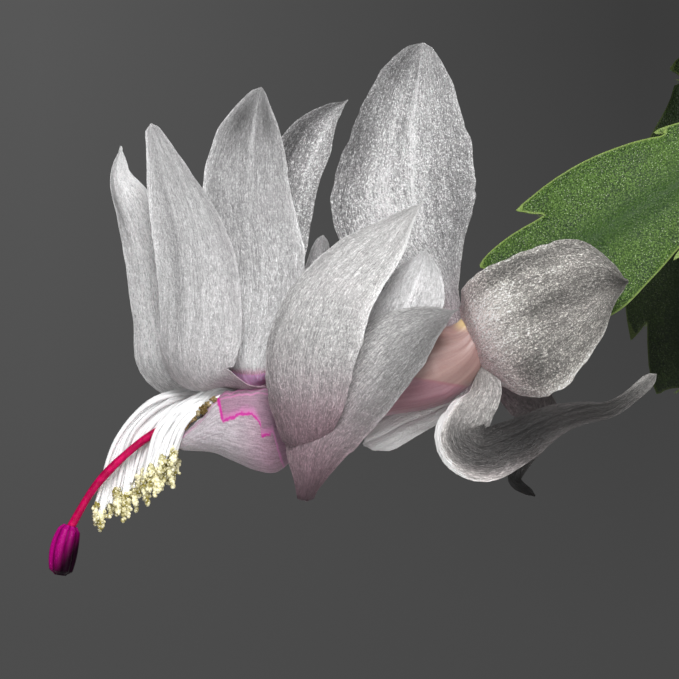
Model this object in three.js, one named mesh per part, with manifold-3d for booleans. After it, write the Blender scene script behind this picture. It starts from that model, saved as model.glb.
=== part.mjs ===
// A potted Christmas cactus in bloom: a plain clay pot filled with potting soil, arching stems of flat
// toothed segments, and one white bloom hanging from the tip of the longest stem.
// Millimetres, +Z up. The origin is the centre of the pot's flat underside.
import * as THREE from "three";
import { mergeVertices } from "three/addons/utils/BufferGeometryUtils.js";
import Module from "manifold-3d";

const wasm = await Module();
wasm.setup();

// Driving dimensions
const POT_HEIGHT = 112;
const POT_BASE_RADIUS = 44;
const POT_NECK_RADIUS = 57;
const RIM_RADIUS = 65;
const RIM_HEIGHT = 24;
const POT_WALL = 5;
const POT_FLOOR = 6;
const POT_SIDES = 36;
const SOIL_TOP = 100;
const SOIL_RELIEF = 1.3;
const FIT_GAP = 0.35;
const ROOT_DEPTH = 14;
const ROOT_RADIUS = 2.6;
const SEGMENT_WIDTH = 20;
const SEGMENT_LENGTH = 43;
const SEGMENT_MIDRIB = 2.6;
const SEGMENT_MARGIN = 1.0;
const PETAL_THICKNESS = 0.7;
const BLOOM_AT = new THREE.Vector3(-172, -8, 205);

// Materials
const matte = (color, roughness) => new THREE.MeshStandardMaterial({ color, roughness, metalness: 0 });
const CLAY = matte(0xb5643f, 0.9);
const SOIL = matte(0x3a2a1e, 1.0);
const GREEN = matte(0x4c7a35, 0.55);
const WHITE = matte(0xeee6e8, 0.6);
const FILAMENT = matte(0xf4f0ea, 0.5);
const MAGENTA = matte(0xc2127e, 0.45);

// Solids from points and triangles
const vec = (x, y, z) => new THREE.Vector3(x, y, z);

function solidOf(points, triangles) {
  const vertProperties = new Float32Array(points.flatMap((p) => [p.x, p.y, p.z]));
  const triVerts = new Uint32Array(triangles.flat());
  return new wasm.Manifold(new wasm.Mesh({ numProp: 3, vertProperties, triVerts }));
}

function solidFromGeometry(geometry) {
  const bare = geometry.index ? geometry.toNonIndexed() : geometry.clone();
  bare.deleteAttribute("normal");
  bare.deleteAttribute("uv");
  const merged = mergeVertices(bare, 1e-4);
  const vertProperties = new Float32Array(merged.attributes.position.array);
  const triVerts = new Uint32Array(merged.index.array);
  return new wasm.Manifold(new wasm.Mesh({ numProp: 3, vertProperties, triVerts }));
}

function meshOf(name, solid, material) {
  const { numProp, numVert, vertProperties, triVerts } = solid.getMesh();
  const position = new Float32Array(numVert * 3);
  for (let i = 0; i < numVert; i++) {
    position.set(vertProperties.subarray(i * numProp, i * numProp + 3), i * 3);
  }
  const geometry = new THREE.BufferGeometry();
  geometry.setAttribute("position", new THREE.BufferAttribute(position, 3));
  geometry.setIndex(new THREE.BufferAttribute(triVerts.slice(), 1));
  const mesh = new THREE.Mesh(geometry, material);
  mesh.name = name;
  return mesh;
}

const join = (solids) => solids.reduce((whole, next) => whole.add(next));

// A closed plate over a grid of points: rows[i][j] holds the point p, the unit normal n and half the
// thickness t. A tooth { row, side, tip } stands out of one side between two rows.
function plate(rows, teeth = []) {
  const across = rows[0].length;
  const lastRow = rows.length - 1;
  const lastColumn = across - 1;
  const cells = rows.flat();
  const points = [
    ...cells.map(({ p, n, t }) => p.clone().addScaledVector(n, t)),
    ...cells.map(({ p, n, t }) => p.clone().addScaledVector(n, -t)),
  ];
  const top = (i, j) => i * across + j;
  const under = (i, j) => cells.length + top(i, j);
  const triangles = [];
  const quad = (a, b, c, d) => triangles.push([a, b, c], [a, c, d]);
  for (let i = 0; i < lastRow; i++) {
    for (let j = 0; j < lastColumn; j++) {
      quad(top(i, j), top(i, j + 1), top(i + 1, j + 1), top(i + 1, j));
      triangles.push([under(i, j), under(i + 1, j + 1), under(i, j + 1)]);
      triangles.push([under(i, j), under(i + 1, j), under(i + 1, j + 1)]);
    }
  }
  for (let j = 0; j < lastColumn; j++) {
    quad(under(0, j), under(0, j + 1), top(0, j + 1), top(0, j));
    quad(top(lastRow, j), top(lastRow, j + 1), under(lastRow, j + 1), under(lastRow, j));
  }
  for (let i = 0; i < lastRow; i++) {
    const end = lastColumn;
    const left = [top(i, 0), top(i + 1, 0), under(i + 1, 0), under(i, 0)];
    const right = [under(i, end), under(i + 1, end), top(i + 1, end), top(i, end)];
    [left, right].forEach((rim, side) => {
      const tooth = teeth.find((each) => each.row === i && each.side === side);
      if (!tooth) {
        quad(...rim);
        return;
      }
      const tip = points.push(tooth.tip) - 1;
      rim.forEach((corner, k) => triangles.push([corner, rim[(k + 1) % 4], tip]));
    });
  }
  return solidOf(points, triangles);
}

// A closed tube of round sections along a curve, with radiusAt(share, turn)
function tube(points, radiusAt, sides, steps) {
  const curve = new THREE.CatmullRomCurve3(points, false, "centripetal");
  const frames = curve.computeFrenetFrames(steps, false);
  const ring = [];
  const triangles = [];
  for (let i = 0; i <= steps; i++) {
    const centre = curve.getPointAt(i / steps);
    for (let k = 0; k < sides; k++) {
      const turn = (2 * Math.PI * k) / sides;
      const radius = radiusAt(i / steps, turn);
      const out = frames.normals[i].clone().multiplyScalar(Math.cos(turn));
      out.addScaledVector(frames.binormals[i], Math.sin(turn));
      ring.push(centre.clone().addScaledVector(out, radius));
    }
  }
  const at = (i, k) => i * sides + (k % sides);
  for (let i = 0; i < steps; i++) {
    for (let k = 0; k < sides; k++) {
      triangles.push([at(i, k), at(i, k + 1), at(i + 1, k + 1)], [at(i, k), at(i + 1, k + 1), at(i + 1, k)]);
    }
  }
  for (let k = 1; k < sides - 1; k++) {
    triangles.push([at(0, 0), at(0, k + 1), at(0, k)], [at(steps, 0), at(steps, k), at(steps, k + 1)]);
  }
  return solidOf(ring, triangles);
}

// A repeatable draw from 0 to 1
function draw(seed) {
  const value = Math.sin(seed * 12.9898) * 43758.5453;
  return value - Math.floor(value);
}

// Pot
function latheSolid(profile, sides) {
  const geometry = new THREE.LatheGeometry(profile.map(([r, z]) => new THREE.Vector2(r, z)), sides);
  return solidFromGeometry(geometry.rotateX(Math.PI / 2));
}

const rimFoot = POT_HEIGHT - RIM_HEIGHT;
const innerRadiusAt = (z) => POT_BASE_RADIUS - POT_WALL + ((POT_NECK_RADIUS - POT_BASE_RADIUS) * z) / rimFoot;

function potSolid() {
  return latheSolid(
    [
      [0, 0],
      [POT_BASE_RADIUS - 1.5, 0],
      [POT_BASE_RADIUS, 1.5],
      [POT_NECK_RADIUS, rimFoot],
      [RIM_RADIUS - 3, rimFoot + 0.5],
      [RIM_RADIUS - 2, rimFoot + 3],
      [RIM_RADIUS, POT_HEIGHT - 3],
      [RIM_RADIUS - 1.5, POT_HEIGHT],
      [RIM_RADIUS - POT_WALL, POT_HEIGHT],
      [RIM_RADIUS - POT_WALL - 1.5, POT_HEIGHT - 2],
      [innerRadiusAt(rimFoot), rimFoot - 1],
      [innerRadiusAt(POT_FLOOR), POT_FLOOR],
      [0, POT_FLOOR],
    ],
    POT_SIDES,
  );
}

// Soil: a plug that follows the inside of the pot, with a lumpy top
const SOIL_INSET = FIT_GAP + 0.85;
const soilFootRadius = innerRadiusAt(POT_FLOOR) - SOIL_INSET;
const soilNeckRadius = innerRadiusAt(rimFoot) - SOIL_INSET;
const rimFlare = (RIM_RADIUS - POT_WALL - 1.5 - soilNeckRadius) / RIM_HEIGHT;
const soilEdgeRadius = soilNeckRadius + (SOIL_TOP - rimFoot) * rimFlare - 0.6;

function soilHeight(x, y) {
  const lumps = Math.sin(x * 0.31 + 1.2) * Math.cos(y * 0.27) + 0.6 * Math.sin(x * 0.13 - y * 0.19 + 0.7);
  const crown = 1.5 * (1 - (x * x + y * y) / (soilEdgeRadius * soilEdgeRadius));
  return SOIL_TOP + SOIL_RELIEF * lumps + crown;
}

function soilSolid() {
  const sides = 28;
  const topRings = [0.3, 0.62, 1];
  const low = [
    [soilEdgeRadius - 0.3, SOIL_TOP - 5],
    [soilNeckRadius, rimFoot - 1.5],
    [soilFootRadius, POT_FLOOR + FIT_GAP],
  ];
  const points = [vec(0, 0, soilHeight(0, 0))];
  const ringPoint = (radius, k, z) => {
    const turn = (2 * Math.PI * k) / sides;
    const x = radius * Math.cos(turn);
    const y = radius * Math.sin(turn);
    return vec(x, y, z ?? soilHeight(x, y));
  };
  topRings.forEach((share) => {
    for (let k = 0; k < sides; k++) points.push(ringPoint(share * soilEdgeRadius, k));
  });
  low.forEach(([radius, z]) => {
    for (let k = 0; k < sides; k++) points.push(ringPoint(radius, k, z));
  });
  const middle = points.push(vec(0, 0, POT_FLOOR + FIT_GAP)) - 1;
  const at = (ring, k) => 1 + ring * sides + (k % sides);
  const rings = topRings.length + low.length;
  const triangles = [];
  for (let k = 0; k < sides; k++) {
    triangles.push([0, at(0, k), at(0, k + 1)], [middle, at(rings - 1, k + 1), at(rings - 1, k)]);
    for (let ring = 0; ring < rings - 1; ring++) {
      triangles.push([at(ring, k), at(ring + 1, k), at(ring + 1, k + 1)]);
      triangles.push([at(ring, k), at(ring + 1, k + 1), at(ring, k + 1)]);
    }
  }
  return solidOf(points, triangles);
}

// Stem segments: a flat blade with a midrib, two hooked teeth on each margin and a horn on each side of its
// tip. Each row of the outline is [share of the length, share of the half width, share of the midrib's
// thickness].
const OUTLINE = [
  [0, 0.22, 0.95],
  [0.3, 0.77, 1],
  [0.36, 0.74, 1],
  [0.62, 1.04, 1],
  [0.755, 0.68, 0.95],
  [0.92, 0.69, 0.9],
  [0.985, 0.32, 0.85],
];
// Each tooth is [row that it starts from, its tip's share of the length, its tip's share of the half width].
const TEETH = [
  [1, 0.41, 0.88],
  [3, 0.81, 0.98],
  [5, 1, 0.58],
];
// The lower teeth alternate: this share of the length takes one margin's teeth back and the other's forward.
const SKEW = 0.095;
const SKEW_END = 0.8;

function segmentRows({ from, to, face, width = SEGMENT_WIDTH, rise = 0.04, camber = 0.08 }) {
  const run = to.clone().sub(from);
  const length = run.length();
  const forward = run.normalize();
  const side = forward.clone().cross(face).normalize();
  const up = side.clone().cross(forward).normalize();
  const half = width / 2;
  const skewed = (share, out) => share - SKEW * out * Math.sin(Math.PI * Math.min(share / SKEW_END, 1));
  const at = (share, out) =>
    from
      .clone()
      .addScaledVector(forward, length * (0.012 + skewed(share, out) * 0.98))
      .addScaledVector(side, half * out)
      .addScaledVector(up, rise * length * 4 * share * (1 - share) - camber * half * out * out);
  const rows = OUTLINE.map(([share, out, rib]) => [
    { p: at(share, -out), n: up, t: SEGMENT_MARGIN / 2 },
    { p: at(share, 0), n: up, t: (SEGMENT_MIDRIB * rib) / 2 },
    { p: at(share, out), n: up, t: SEGMENT_MARGIN / 2 },
  ]);
  const teeth = TEETH.flatMap(([row, share, out]) => [
    { row, side: 0, tip: at(share, -out) },
    { row, side: 1, tip: at(share, out) },
  ]);
  return { rows, teeth };
}

// A run of segments is one plate that narrows to a neck at each joint.
function runSolid(segments) {
  const rows = [];
  const teeth = [];
  segments.map(segmentRows).forEach((part) => {
    teeth.push(...part.teeth.map((tooth) => ({ ...tooth, row: tooth.row + rows.length })));
    rows.push(...part.rows);
  });
  return plate(rows, teeth);
}

// Stems: each is a run of segments that leaves the soil steeply and droops as it goes out
const polar = (azimuth, elevation) => {
  const a = THREE.MathUtils.degToRad(azimuth);
  const e = THREE.MathUtils.degToRad(elevation);
  return vec(Math.cos(a) * Math.cos(e), Math.sin(a) * Math.cos(e), Math.sin(e));
};

// Each row is [azimuth, distance of the root from the centre, first elevation, droop at each joint, segments,
// joint where it forks or 0, turn of the fork].
const STEMS = [
  [28, 13, 86, 22, 5, 3, 46],
  [118, 13, 86, 21, 5, 3, -44],
  [205, 14, 86, 24, 4, 2, 42],
  [292, 13, 86, 22, 5, 3, 44],
  [352, 36, 72, 30, 5, 3, 34],
  [38, 37, 70, 31, 4, 0, 0],
  [78, 36, 73, 29, 5, 3, -38],
  [122, 36, 72, 29, 4, 0, 0],
  [228, 37, 70, 30, 4, 0, 0],
  [262, 36, 73, 29, 5, 3, 34],
  [312, 37, 71, 30, 5, 3, 36],
];

function root(at) {
  const foot = vec(at.x, at.y, SOIL_TOP - ROOT_DEPTH);
  const head = vec(at.x, at.y, SOIL_TOP + 5);
  return tube([foot, head], () => ROOT_RADIUS, 6, 1);
}

function droopingRun(from, azimuth, elevation, droop, count, seed) {
  const segments = [];
  let here = from.clone();
  let heading = elevation;
  for (let k = 0; k < count; k++) {
    const turn = azimuth + 14 * (draw(seed + k) - 0.5);
    const forward = polar(turn, heading);
    const length = SEGMENT_LENGTH * (0.84 + 0.3 * draw(seed + 10 + k));
    const width = SEGMENT_WIDTH * (k === 0 ? 0.74 : 0.9 + 0.18 * draw(seed + 20 + k));
    const there = here.clone().addScaledVector(forward, length);
    const roll = 50 * (draw(seed + 30 + k) - 0.5);
    const face = polar(turn, heading + 90).applyAxisAngle(forward, THREE.MathUtils.degToRad(roll));
    segments.push({ from: here, to: there, face, width });
    here = there;
    heading -= droop * (0.75 + 0.25 * k);
  }
  return segments;
}

function stemSolid([azimuth, distance, elevation, droop, count, fork, turn], index) {
  const seed = 100 * (index + 1);
  const foot = polar(azimuth, 0).multiplyScalar(distance).setZ(SOIL_TOP + 2);
  const segments = droopingRun(foot, azimuth, elevation, droop, count, seed);
  const solids = [root(foot), runSolid(segments)];
  if (fork) {
    const heading = elevation - droop * fork * 0.8 + 8;
    const start = segments[fork].from.clone().addScaledVector(polar(azimuth + turn, heading), -3);
    solids.push(runSolid(droopingRun(start, azimuth + turn, heading, droop, count - fork, seed + 50)));
  }
  return join(solids);
}

// Two stems have their joints set by hand: one arches over to the left and carries the bloom, and its
// neighbour hangs down behind it.
const BLOOM_STEM = {
  foot: vec(-34, -2, SOIL_TOP + 2),
  joints: [
    vec(-40, -6, 146),
    vec(-51, -8, 188),
    vec(-73, -8, 226),
    vec(-105.4, -5, 237.2),
    vec(-148.15, -8, 210.75),
  ],
  faces: [
    vec(-0.9, -0.5, 0.2),
    vec(-0.8, -0.5, 0.3),
    vec(-0.5, -0.75, 0.45),
    vec(-0.1, -0.85, 0.5),
    vec(-0.05, -0.97, 0.22),
  ],
  width: 21,
};
const NEIGHBOUR = {
  foot: vec(-31, 20, SOIL_TOP + 2),
  joints: [
    vec(-37, 23, 146),
    vec(-46, 25, 189),
    vec(-60, 27, 230),
    vec(-86, 28, 264),
    vec(-118, 30, 243.5),
    vec(-116.5, 31, 196),
  ],
  faces: [
    vec(-0.8, 0.5, 0.1),
    vec(-0.9, 0.3, 0.2),
    vec(-0.8, -0.3, 0.5),
    vec(-0.5, -0.4, 0.7),
    vec(-0.3, -0.7, 0.5),
    vec(-0.3, -0.95, 0),
  ],
  width: SEGMENT_WIDTH,
};

function setStemSolid({ foot, joints, faces, width }) {
  const segments = joints.map((to, k) => {
    return { from: k ? joints[k - 1] : foot, to, face: faces[k], width: k ? width : 15 };
  });
  return join([root(foot), runSolid(segments)]);
}

// Bloom. Its own frame has x to the right, y away from the side that is seen and z up; the tube runs from
// the ovary at the segment's tip, on the right, to the mouth on the left.
const TUBE_LINE = [
  vec(24, 0, 5.9),
  vec(21.8, 0, 3.4),
  vec(18.6, 0, -1.4),
  vec(12.6, 0, -4.2),
  vec(5, 0, -5.8),
  vec(-5, 0, -9.4),
  vec(-12.4, 0, -12.6),
];
const TUBE_RADII = [2, 3.8, 6.2, 6, 5.8, 6.2, 6.7];
const TUBE_WALL = 0.9;
const TUBE_SIDES = 12;
const TUBE_STEPS = 9;
const TUBE_FLOOR = 0.34;

function tubeRadius(share) {
  const place = share * (TUBE_RADII.length - 1);
  const index = Math.min(Math.floor(place), TUBE_RADII.length - 2);
  return THREE.MathUtils.lerp(TUBE_RADII[index], TUBE_RADII[index + 1], place - index);
}

// The mouth is cut back on the near side and long on the far side and along the top.
function mouthShare(out) {
  return 0.9 + 0.1 * Math.max(-0.6, Math.min(1, 0.9 * out.y + 0.5 * out.z));
}

function tubeSolid() {
  const curve = new THREE.CatmullRomCurve3(TUBE_LINE, false, "centripetal");
  const points = [];
  const triangles = [];
  const ring = (shareOf, shrink) => {
    for (let k = 0; k < TUBE_SIDES; k++) {
      const turn = (2 * Math.PI * k) / TUBE_SIDES;
      const rough = vec(0, Math.cos(turn), Math.sin(turn));
      const share = shareOf(rough);
      const tangent = curve.getTangentAt(share);
      const out = rough.clone().addScaledVector(tangent, -rough.dot(tangent)).normalize();
      points.push(curve.getPointAt(share).addScaledVector(out, Math.max(tubeRadius(share) - shrink, 0.6)));
    }
  };
  for (let i = 0; i <= TUBE_STEPS; i++) ring((out) => (i / TUBE_STEPS) * mouthShare(out), 0);
  for (let i = TUBE_STEPS; i >= 0; i -= 3) {
    ring((out) => TUBE_FLOOR + (i / TUBE_STEPS) * (mouthShare(out) - TUBE_FLOOR), TUBE_WALL);
  }
  const at = (i, k) => i * TUBE_SIDES + (k % TUBE_SIDES);
  const rings = points.length / TUBE_SIDES;
  for (let i = 0; i < rings - 1; i++) {
    for (let k = 0; k < TUBE_SIDES; k++) {
      triangles.push([at(i, k), at(i + 1, k), at(i + 1, k + 1)], [at(i, k), at(i + 1, k + 1), at(i, k + 1)]);
    }
  }
  for (let k = 1; k < TUBE_SIDES - 1; k++) {
    triangles.push([at(0, 0), at(0, k), at(0, k + 1)]);
    triangles.push([at(rings - 1, 0), at(rings - 1, k + 1), at(rings - 1, k)]);
  }
  const made = solidOf(points, triangles);
  if (made.volume() > 0) return made;
  return solidOf(points, triangles.map(([a, b, c]) => [a, c, b]));
}

// Tepals. The spine runs from the foot to the tip; faces are the ways that one side of the blade looks, and
// left and right its widths on each side of the spine, all at even steps from foot to tip; cup lifts the
// middle above the margins, as a share of the width; blunt is where a rounded tip begins.
const TEPALS = {
  inner_far_left: {
    spine: [
      [-8.6, 3, -5.8], [-13, 3.4, -6.9], [-18, 4.4, -6.5], [-22.6, 5.8, -6.6], [-25.4, 6.4, -4.2],
      [-26.9, 6.4, 2.4], [-28.8, 6.2, 11.7], [-31.3, 6, 19], [-33.5, 5.8, 24.6], [-33, 5.6, 29.2],
    ],
    faces: [[0, 0.5, 1], [0.2, 0.4, 1], [0.5, 1, 0.5], [0.4, 1, 0], [0.3, 1, 0], [0.2, 1, 0]],
    left: [2.2, 3.2, 4, 5, 3.7, 3.6, 0.8],
    right: [2.2, 4.2, 6.2, 4.8, 3.9, 2.2, 0.3],
    cup: -0.1,
  },
  inner_near_left: {
    spine: [
      [-8.6, -3, -5.8], [-13, -3.3, -6.9], [-17, -4.2, -6.3], [-20, -5.6, -6], [-21.3, -6.8, -3.2],
      [-21, -7.2, 4.4], [-21.9, -6.8, 14.1], [-24.7, -6, 23.8], [-28.1, -4.8, 32.2],
    ],
    faces: [
      [0, 0.5, -1], [-0.2, -0.2, -1], [-0.5, -1, 0], [-0.3, -1, 0], [0, -1, 0], [0.1, -1, 0],
      [0.2, -1, 0.1],
    ],
    left: [2.2, 4.6, 6.4, 6.2, 5.6, 4, 1.2],
    right: [2.2, 4.6, 6.8, 6.6, 5.2, 2.8, 0.9],
    cup: 0.1,
    blunt: 0.97,
  },
  inner_top_near: {
    spine: [
      [-5, -1.6, -4.6], [-9, -2.2, -6], [-12.4, -3.6, -6.1], [-13.4, -4.6, -3.4], [-12.9, -4.5, 0.9],
      [-12.3, -4.2, 9.6], [-13.4, -3.6, 20.1], [-13.4, -2.6, 28.3], [-12.5, -1.8, 34.3],
      [-11.7, -1.2, 37.9],
    ],
    faces: [
      [-0.2, 0.2, -1], [-0.9, -0.9, 0], [-0.3, -1, 0], [-0.2, -1, 0], [-0.1, -1, 0], [0, -1, 0.1],
      [0, -1, 0.2],
    ],
    left: [2, 4.4, 5.6, 7.3, 7.3, 5.6, 2],
    right: [2, 3, 6, 7.3, 6.2, 5, 1.4],
    cup: 0.1,
    blunt: 0.9,
  },
  inner_top_far: {
    spine: [
      [-5, 3.2, -4.6], [-8.6, 4, -5.4], [-10.4, 5.6, -2.4], [-10.3, 6.8, 1.6], [-9.3, 8, 9.8],
      [-8, 9, 18.9], [-6, 9.8, 27], [-2.7, 10.4, 33], [1.3, 11, 36.4],
    ],
    faces: [
      [0, 0.5, 1], [0.9, 0.9, 0], [0.5, 1, 0], [0.4, 1, 0], [0.3, 1, -0.2], [0.1, 1, -0.4],
      [-0.1, 1, -0.5],
    ],
    left: [1.8, 2.6, 3.4, 3.8, 3.8, 3.6, 0.4],
    right: [1.8, 2.6, 4, 4.7, 4.9, 3.9, 0.4],
    cup: -0.1,
  },
  side_near: {
    spine: [
      [-4.6, -5.6, -8.8], [-4.8, -5.2, -11.4], [-5, -6.4, -14], [-5.2, -9.4, -15.6],
      [-5.2, -12.4, -13.4], [-4.9, -14.2, -8.9], [-4.5, -15.2, -3], [-3.3, -15.6, 2.1],
      [-1.3, -15.4, 6.7], [1.8, -14.6, 10.7], [6, -13.4, 14.5], [9.2, -12.4, 17.6], [12.4, -11.6, 20.4],
    ],
    faces: [
      [0, 1, 0], [0, -0.1, -1], [-0.2, -1, 0], [-0.3, -1, 0.1], [-0.3, -1, 0.1], [-0.3, -1, 0.2],
      [-0.2, -1, 0.3], [-0.1, -1, 0.4],
    ],
    left: [3, 3.1, 6.1, 6.9, 5.4, 3.3, 0.3],
    right: [3, 2.9, 5.8, 7.2, 6.3, 4.2, 0.3],
    cup: 0.1,
  },
  low_near: {
    spine: [
      [-1.8, -5.2, -9.6], [-2.4, -4.2, -12.2], [-3.6, -4.6, -16], [-4.8, -5.8, -21], [-4.9, -8, -24],
      [-4.2, -10.2, -21], [-2, -11.6, -14.4], [1.1, -11.8, -9.5], [4.5, -11.6, -5.1],
      [8.1, -11.2, -1.3], [12.5, -10.4, 2.1], [17.5, -9.6, 4.4],
    ],
    faces: [
      [0, 1, -0.4], [0.1, 1, 0], [0, 0, -1], [-0.4, -1, 0], [-0.2, -1, 0], [-0.1, -1, 0.1],
      [0, -1, 0.2], [0.1, -1, 0.4],
    ],
    left: [2.4, 2.3, 2.2, 1.2, 2, 5.2, 7.4, 7, 6.4, 5.9, 5, 2.8, 0.3],
    right: [2.4, 2.3, 2.2, 1.2, 1.2, 2.8, 4.6, 5.2, 5.6, 5.3, 4.6, 2.6, 0.3],
    cup: 0.1,
  },
  mid_near: {
    spine: [
      [6.4, -5.2, -7], [7.2, -6.2, -3.2], [8.2, -7.4, 0.6], [10.2, -8, 6], [11.8, -7.6, 10.2],
      [12.9, -7, 13.6],
    ],
    faces: [[-0.1, -1, 0.1], [-0.2, -1, 0.2], [0, -1, 0.2]],
    left: [3, 3.8, 4.6, 4.8, 4, 2.8, 0.3],
    right: [3, 4.2, 5.2, 5.7, 5.2, 3.8, 0.3],
    cup: 0.12,
  },
  top: {
    spine: [
      [18, -1.2, -0.6], [17.2, -0.8, 4], [15.6, 0, 8.6], [11.8, 0.8, 15.5], [10, 1, 22.5],
      [10.1, 0.8, 29.2], [11.2, 1.2, 37.2], [12.5, 2.6, 44.8],
    ],
    faces: [[-0.6, -0.8, 0.1], [-0.15, -1, 0.1], [-0.1, -1, 0.3]],
    left: [2, 3, 10, 11.6, 8.9, 6.6, 3.8],
    right: [1.6, 1.8, 7.9, 10.4, 9.9, 6.6, 3.2],
    cup: 0.06,
    blunt: 0.87,
  },
  outer_near: {
    spine: [
      [21.2, -2.4, -2.4], [22.4, -5.4, -1.4], [25.6, -9, 0.9], [30, -10.2, 3.2], [34.9, -10, 5.4],
      [39.1, -9.2, 7.5], [42.9, -8.2, 8.6],
    ],
    faces: [[-0.4, -0.9, -0.1], [-0.05, -1, 0.05], [0.1, -1, 0.15]],
    left: [8, 9.8, 10.4, 10.2, 9.8, 8.5, 1.2],
    right: [5.2, 9.2, 10.8, 10, 7.6, 3.9, 0.6],
    cup: 0.08,
  },
  outer_low_near: {
    spine: [
      [21.6, -1.4, -3.4], [21.4, -4.4, -7.6], [19.4, -7.2, -10.8], [18.2, -9.4, -14.4],
      [20.9, -10.8, -16.4], [25.5, -10.6, -14.9], [30.9, -10.2, -12.4], [35.6, -9.6, -10.8],
      [39.8, -9.2, -10], [43.7, -8.8, -7.8], [47, -8.4, -5.1],
    ],
    faces: [[-0.7, -0.7, 0.1], [-0.5, -1, 0], [-0.2, -1, 0.1], [0.1, -0.8, 0.5], [0.2, -0.7, 0.8]],
    left: [2.2, 3.5, 3.7, 3, 2.4, 1, 1.3],
    right: [2.2, 4, 4.8, 4, 2.1, 1.7, 1],
    cup: 0.14,
    blunt: 0.94,
  },
  outer_low_far: {
    spine: [
      [19.3, 1.6, -5.4], [17, 4.4, -9.4], [13.7, 5.8, -11.3], [10.1, 6.4, -12.8], [6.7, 6.4, -14.6],
      [3.6, 6, -15.9],
    ],
    faces: [[-0.3, -0.8, 0.6], [-0.2, -1, 0.4], [-0.1, -1, 0.3]],
    left: [1.9, 1.9, 1.6, 1.9, 2.4, 2.4, 0.9],
    right: [2.2, 2.8, 3.1, 3.5, 3.8, 2.8, 0.9],
    cup: 0.14,
  },
  outer_under: {
    spine: [
      [21.6, 0.6, -2], [26.3, 3, -6.4], [29.6, 4, -9.7], [29.9, 4, -13.9], [27.5, 3.2, -18.1],
      [26.3, 2.4, -21.1], [29.4, 2, -23.5],
    ],
    faces: [[0.3, -1, 0.3], [0.2, -1, 0.1], [0.2, -1, 0]],
    left: [1.8, 2.4, 2.6, 3.1, 1.8, 1.2, 0.5],
    right: [2.3, 3.1, 4, 3.4, 1.6, 1, 0.5],
    cup: 0.14,
  },
  side_far: {
    spine: [
      [-4, 5.3, -10.4], [-7.2, 6, -11.6], [-6.6, 10, -11.6], [-5.4, 13, -6], [-5, 14.6, 1],
      [-3.6, 14.8, 9], [-2.5, 13.8, 15.9],
    ],
    faces: [[0, 1, -0.3], [0.7, 0.5, -0.8], [0.5, 1, 0], [0.4, 1, 0], [0.4, 1, 0], [0.3, 1, 0]],
    left: [2.4, 3.2, 4.2, 4.4, 3.6, 2.4, 1.2],
    right: [2.4, 3.2, 4.2, 4.4, 3.6, 2.4, 1.2],
    cup: -0.12,
    blunt: 0.92,
  },
  low_far: {
    spine: [
      [-2, 3.8, -12.2], [-5, 5, -15.2], [-3.6, 8.6, -16.4], [1.4, 11, -10.4], [7, 12, -4],
      [13, 12, 1.6],
    ],
    faces: [[0, 0.7, -0.7], [0.5, 0.6, -0.9], [0.4, 1, 0], [0.3, 1, 0], [0.2, 1, 0]],
    left: [2.4, 3.2, 4.6, 5.2, 4.6, 3, 0.3],
    right: [2.4, 3.2, 4.6, 5.2, 4.6, 3, 0.3],
    cup: -0.12,
  },
  outer_far: {
    spine: [[20.2, 2.4, -2.4], [21.8, 5.4, -1.2], [26.4, 10, 0.6], [31.6, 11.8, 2.2], [38, 12.4, 4.4]],
    faces: [[0.4, 0.9, -0.1], [0.1, 1, 0], [0, 1, 0]],
    left: [4, 6, 7.4, 7.8, 6.4, 4, 0.4],
    right: [4, 6, 7.4, 7.8, 6.4, 4, 0.4],
    cup: -0.1,
  },
};

// A smooth value at a share of the way along a list of evenly spaced values
function along(values, share) {
  const place = share * (values.length - 1);
  const index = Math.min(Math.floor(place), values.length - 2);
  const near = (step) => values[THREE.MathUtils.clamp(index + step, 0, values.length - 1)];
  const [a, b, c, d] = [-1, 0, 1, 2].map(near);
  const t = place - index;
  return b + 0.5 * t * (c - a + t * (2 * a - 5 * b + 4 * c - d + t * (3 * (b - c) + d - a)));
}

// The plate over a grid of points, with its normals taken from the grid
function blade(grid) {
  const last = grid.length - 1;
  const rows = grid.map((row, i) =>
    row.map((p, j) => {
      const alongward = grid[Math.min(i + 1, last)][j].clone().sub(grid[Math.max(i - 1, 0)][j]);
      const sideward = row[Math.min(j + 1, row.length - 1)].clone().sub(row[Math.max(j - 1, 0)]);
      return { p, n: sideward.cross(alongward).normalize(), t: PETAL_THICKNESS / 2 };
    }),
  );
  return plate(rows);
}

// The share of its width that a blunt tip keeps, which falls like a quarter ellipse from share blunt to the tip
function roundTip(share, blunt) {
  const inTip = Math.max((share - blunt) / (1 - blunt), 0);
  return Math.sqrt(Math.max(1 - inTip * inTip, 0));
}

function tepalSolid(shape) {
  const rowCount = shape.spine.length > 7 ? 9 : 6;
  const columnCount = 4;
  const curve = new THREE.CatmullRomCurve3(shape.spine.map((p) => vec(...p)), false, "centripetal");
  const faces = shape.faces.map((f) => vec(...f).normalize());
  const grid = [];
  for (let i = 0; i <= rowCount; i++) {
    const share = i / rowCount;
    const tangent = curve.getTangentAt(share);
    const place = share * (faces.length - 1);
    const index = Math.min(Math.floor(place), faces.length - 2);
    const face = faces[index].clone().lerp(faces[index + 1], place - index);
    const side = tangent.clone().cross(face).normalize();
    const out = side.clone().cross(tangent);
    const round = shape.blunt ? roundTip(share, shape.blunt) : 1;
    const left = Math.max(along(shape.left, share) * round, 0.3);
    const right = Math.max(along(shape.right, share) * round, 0.3);
    const row = [];
    for (let j = 0; j <= columnCount; j++) {
      const across = (2 * j) / columnCount - 1;
      const lift = shape.cup * (left + right) * (0.5 - across * across);
      const sideways = across < 0 ? left * across : right * across;
      row.push(curve.getPointAt(share).addScaledVector(side, sideways).addScaledVector(out, lift));
    }
    grid.push(row);
  }
  return blade(grid);
}

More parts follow.
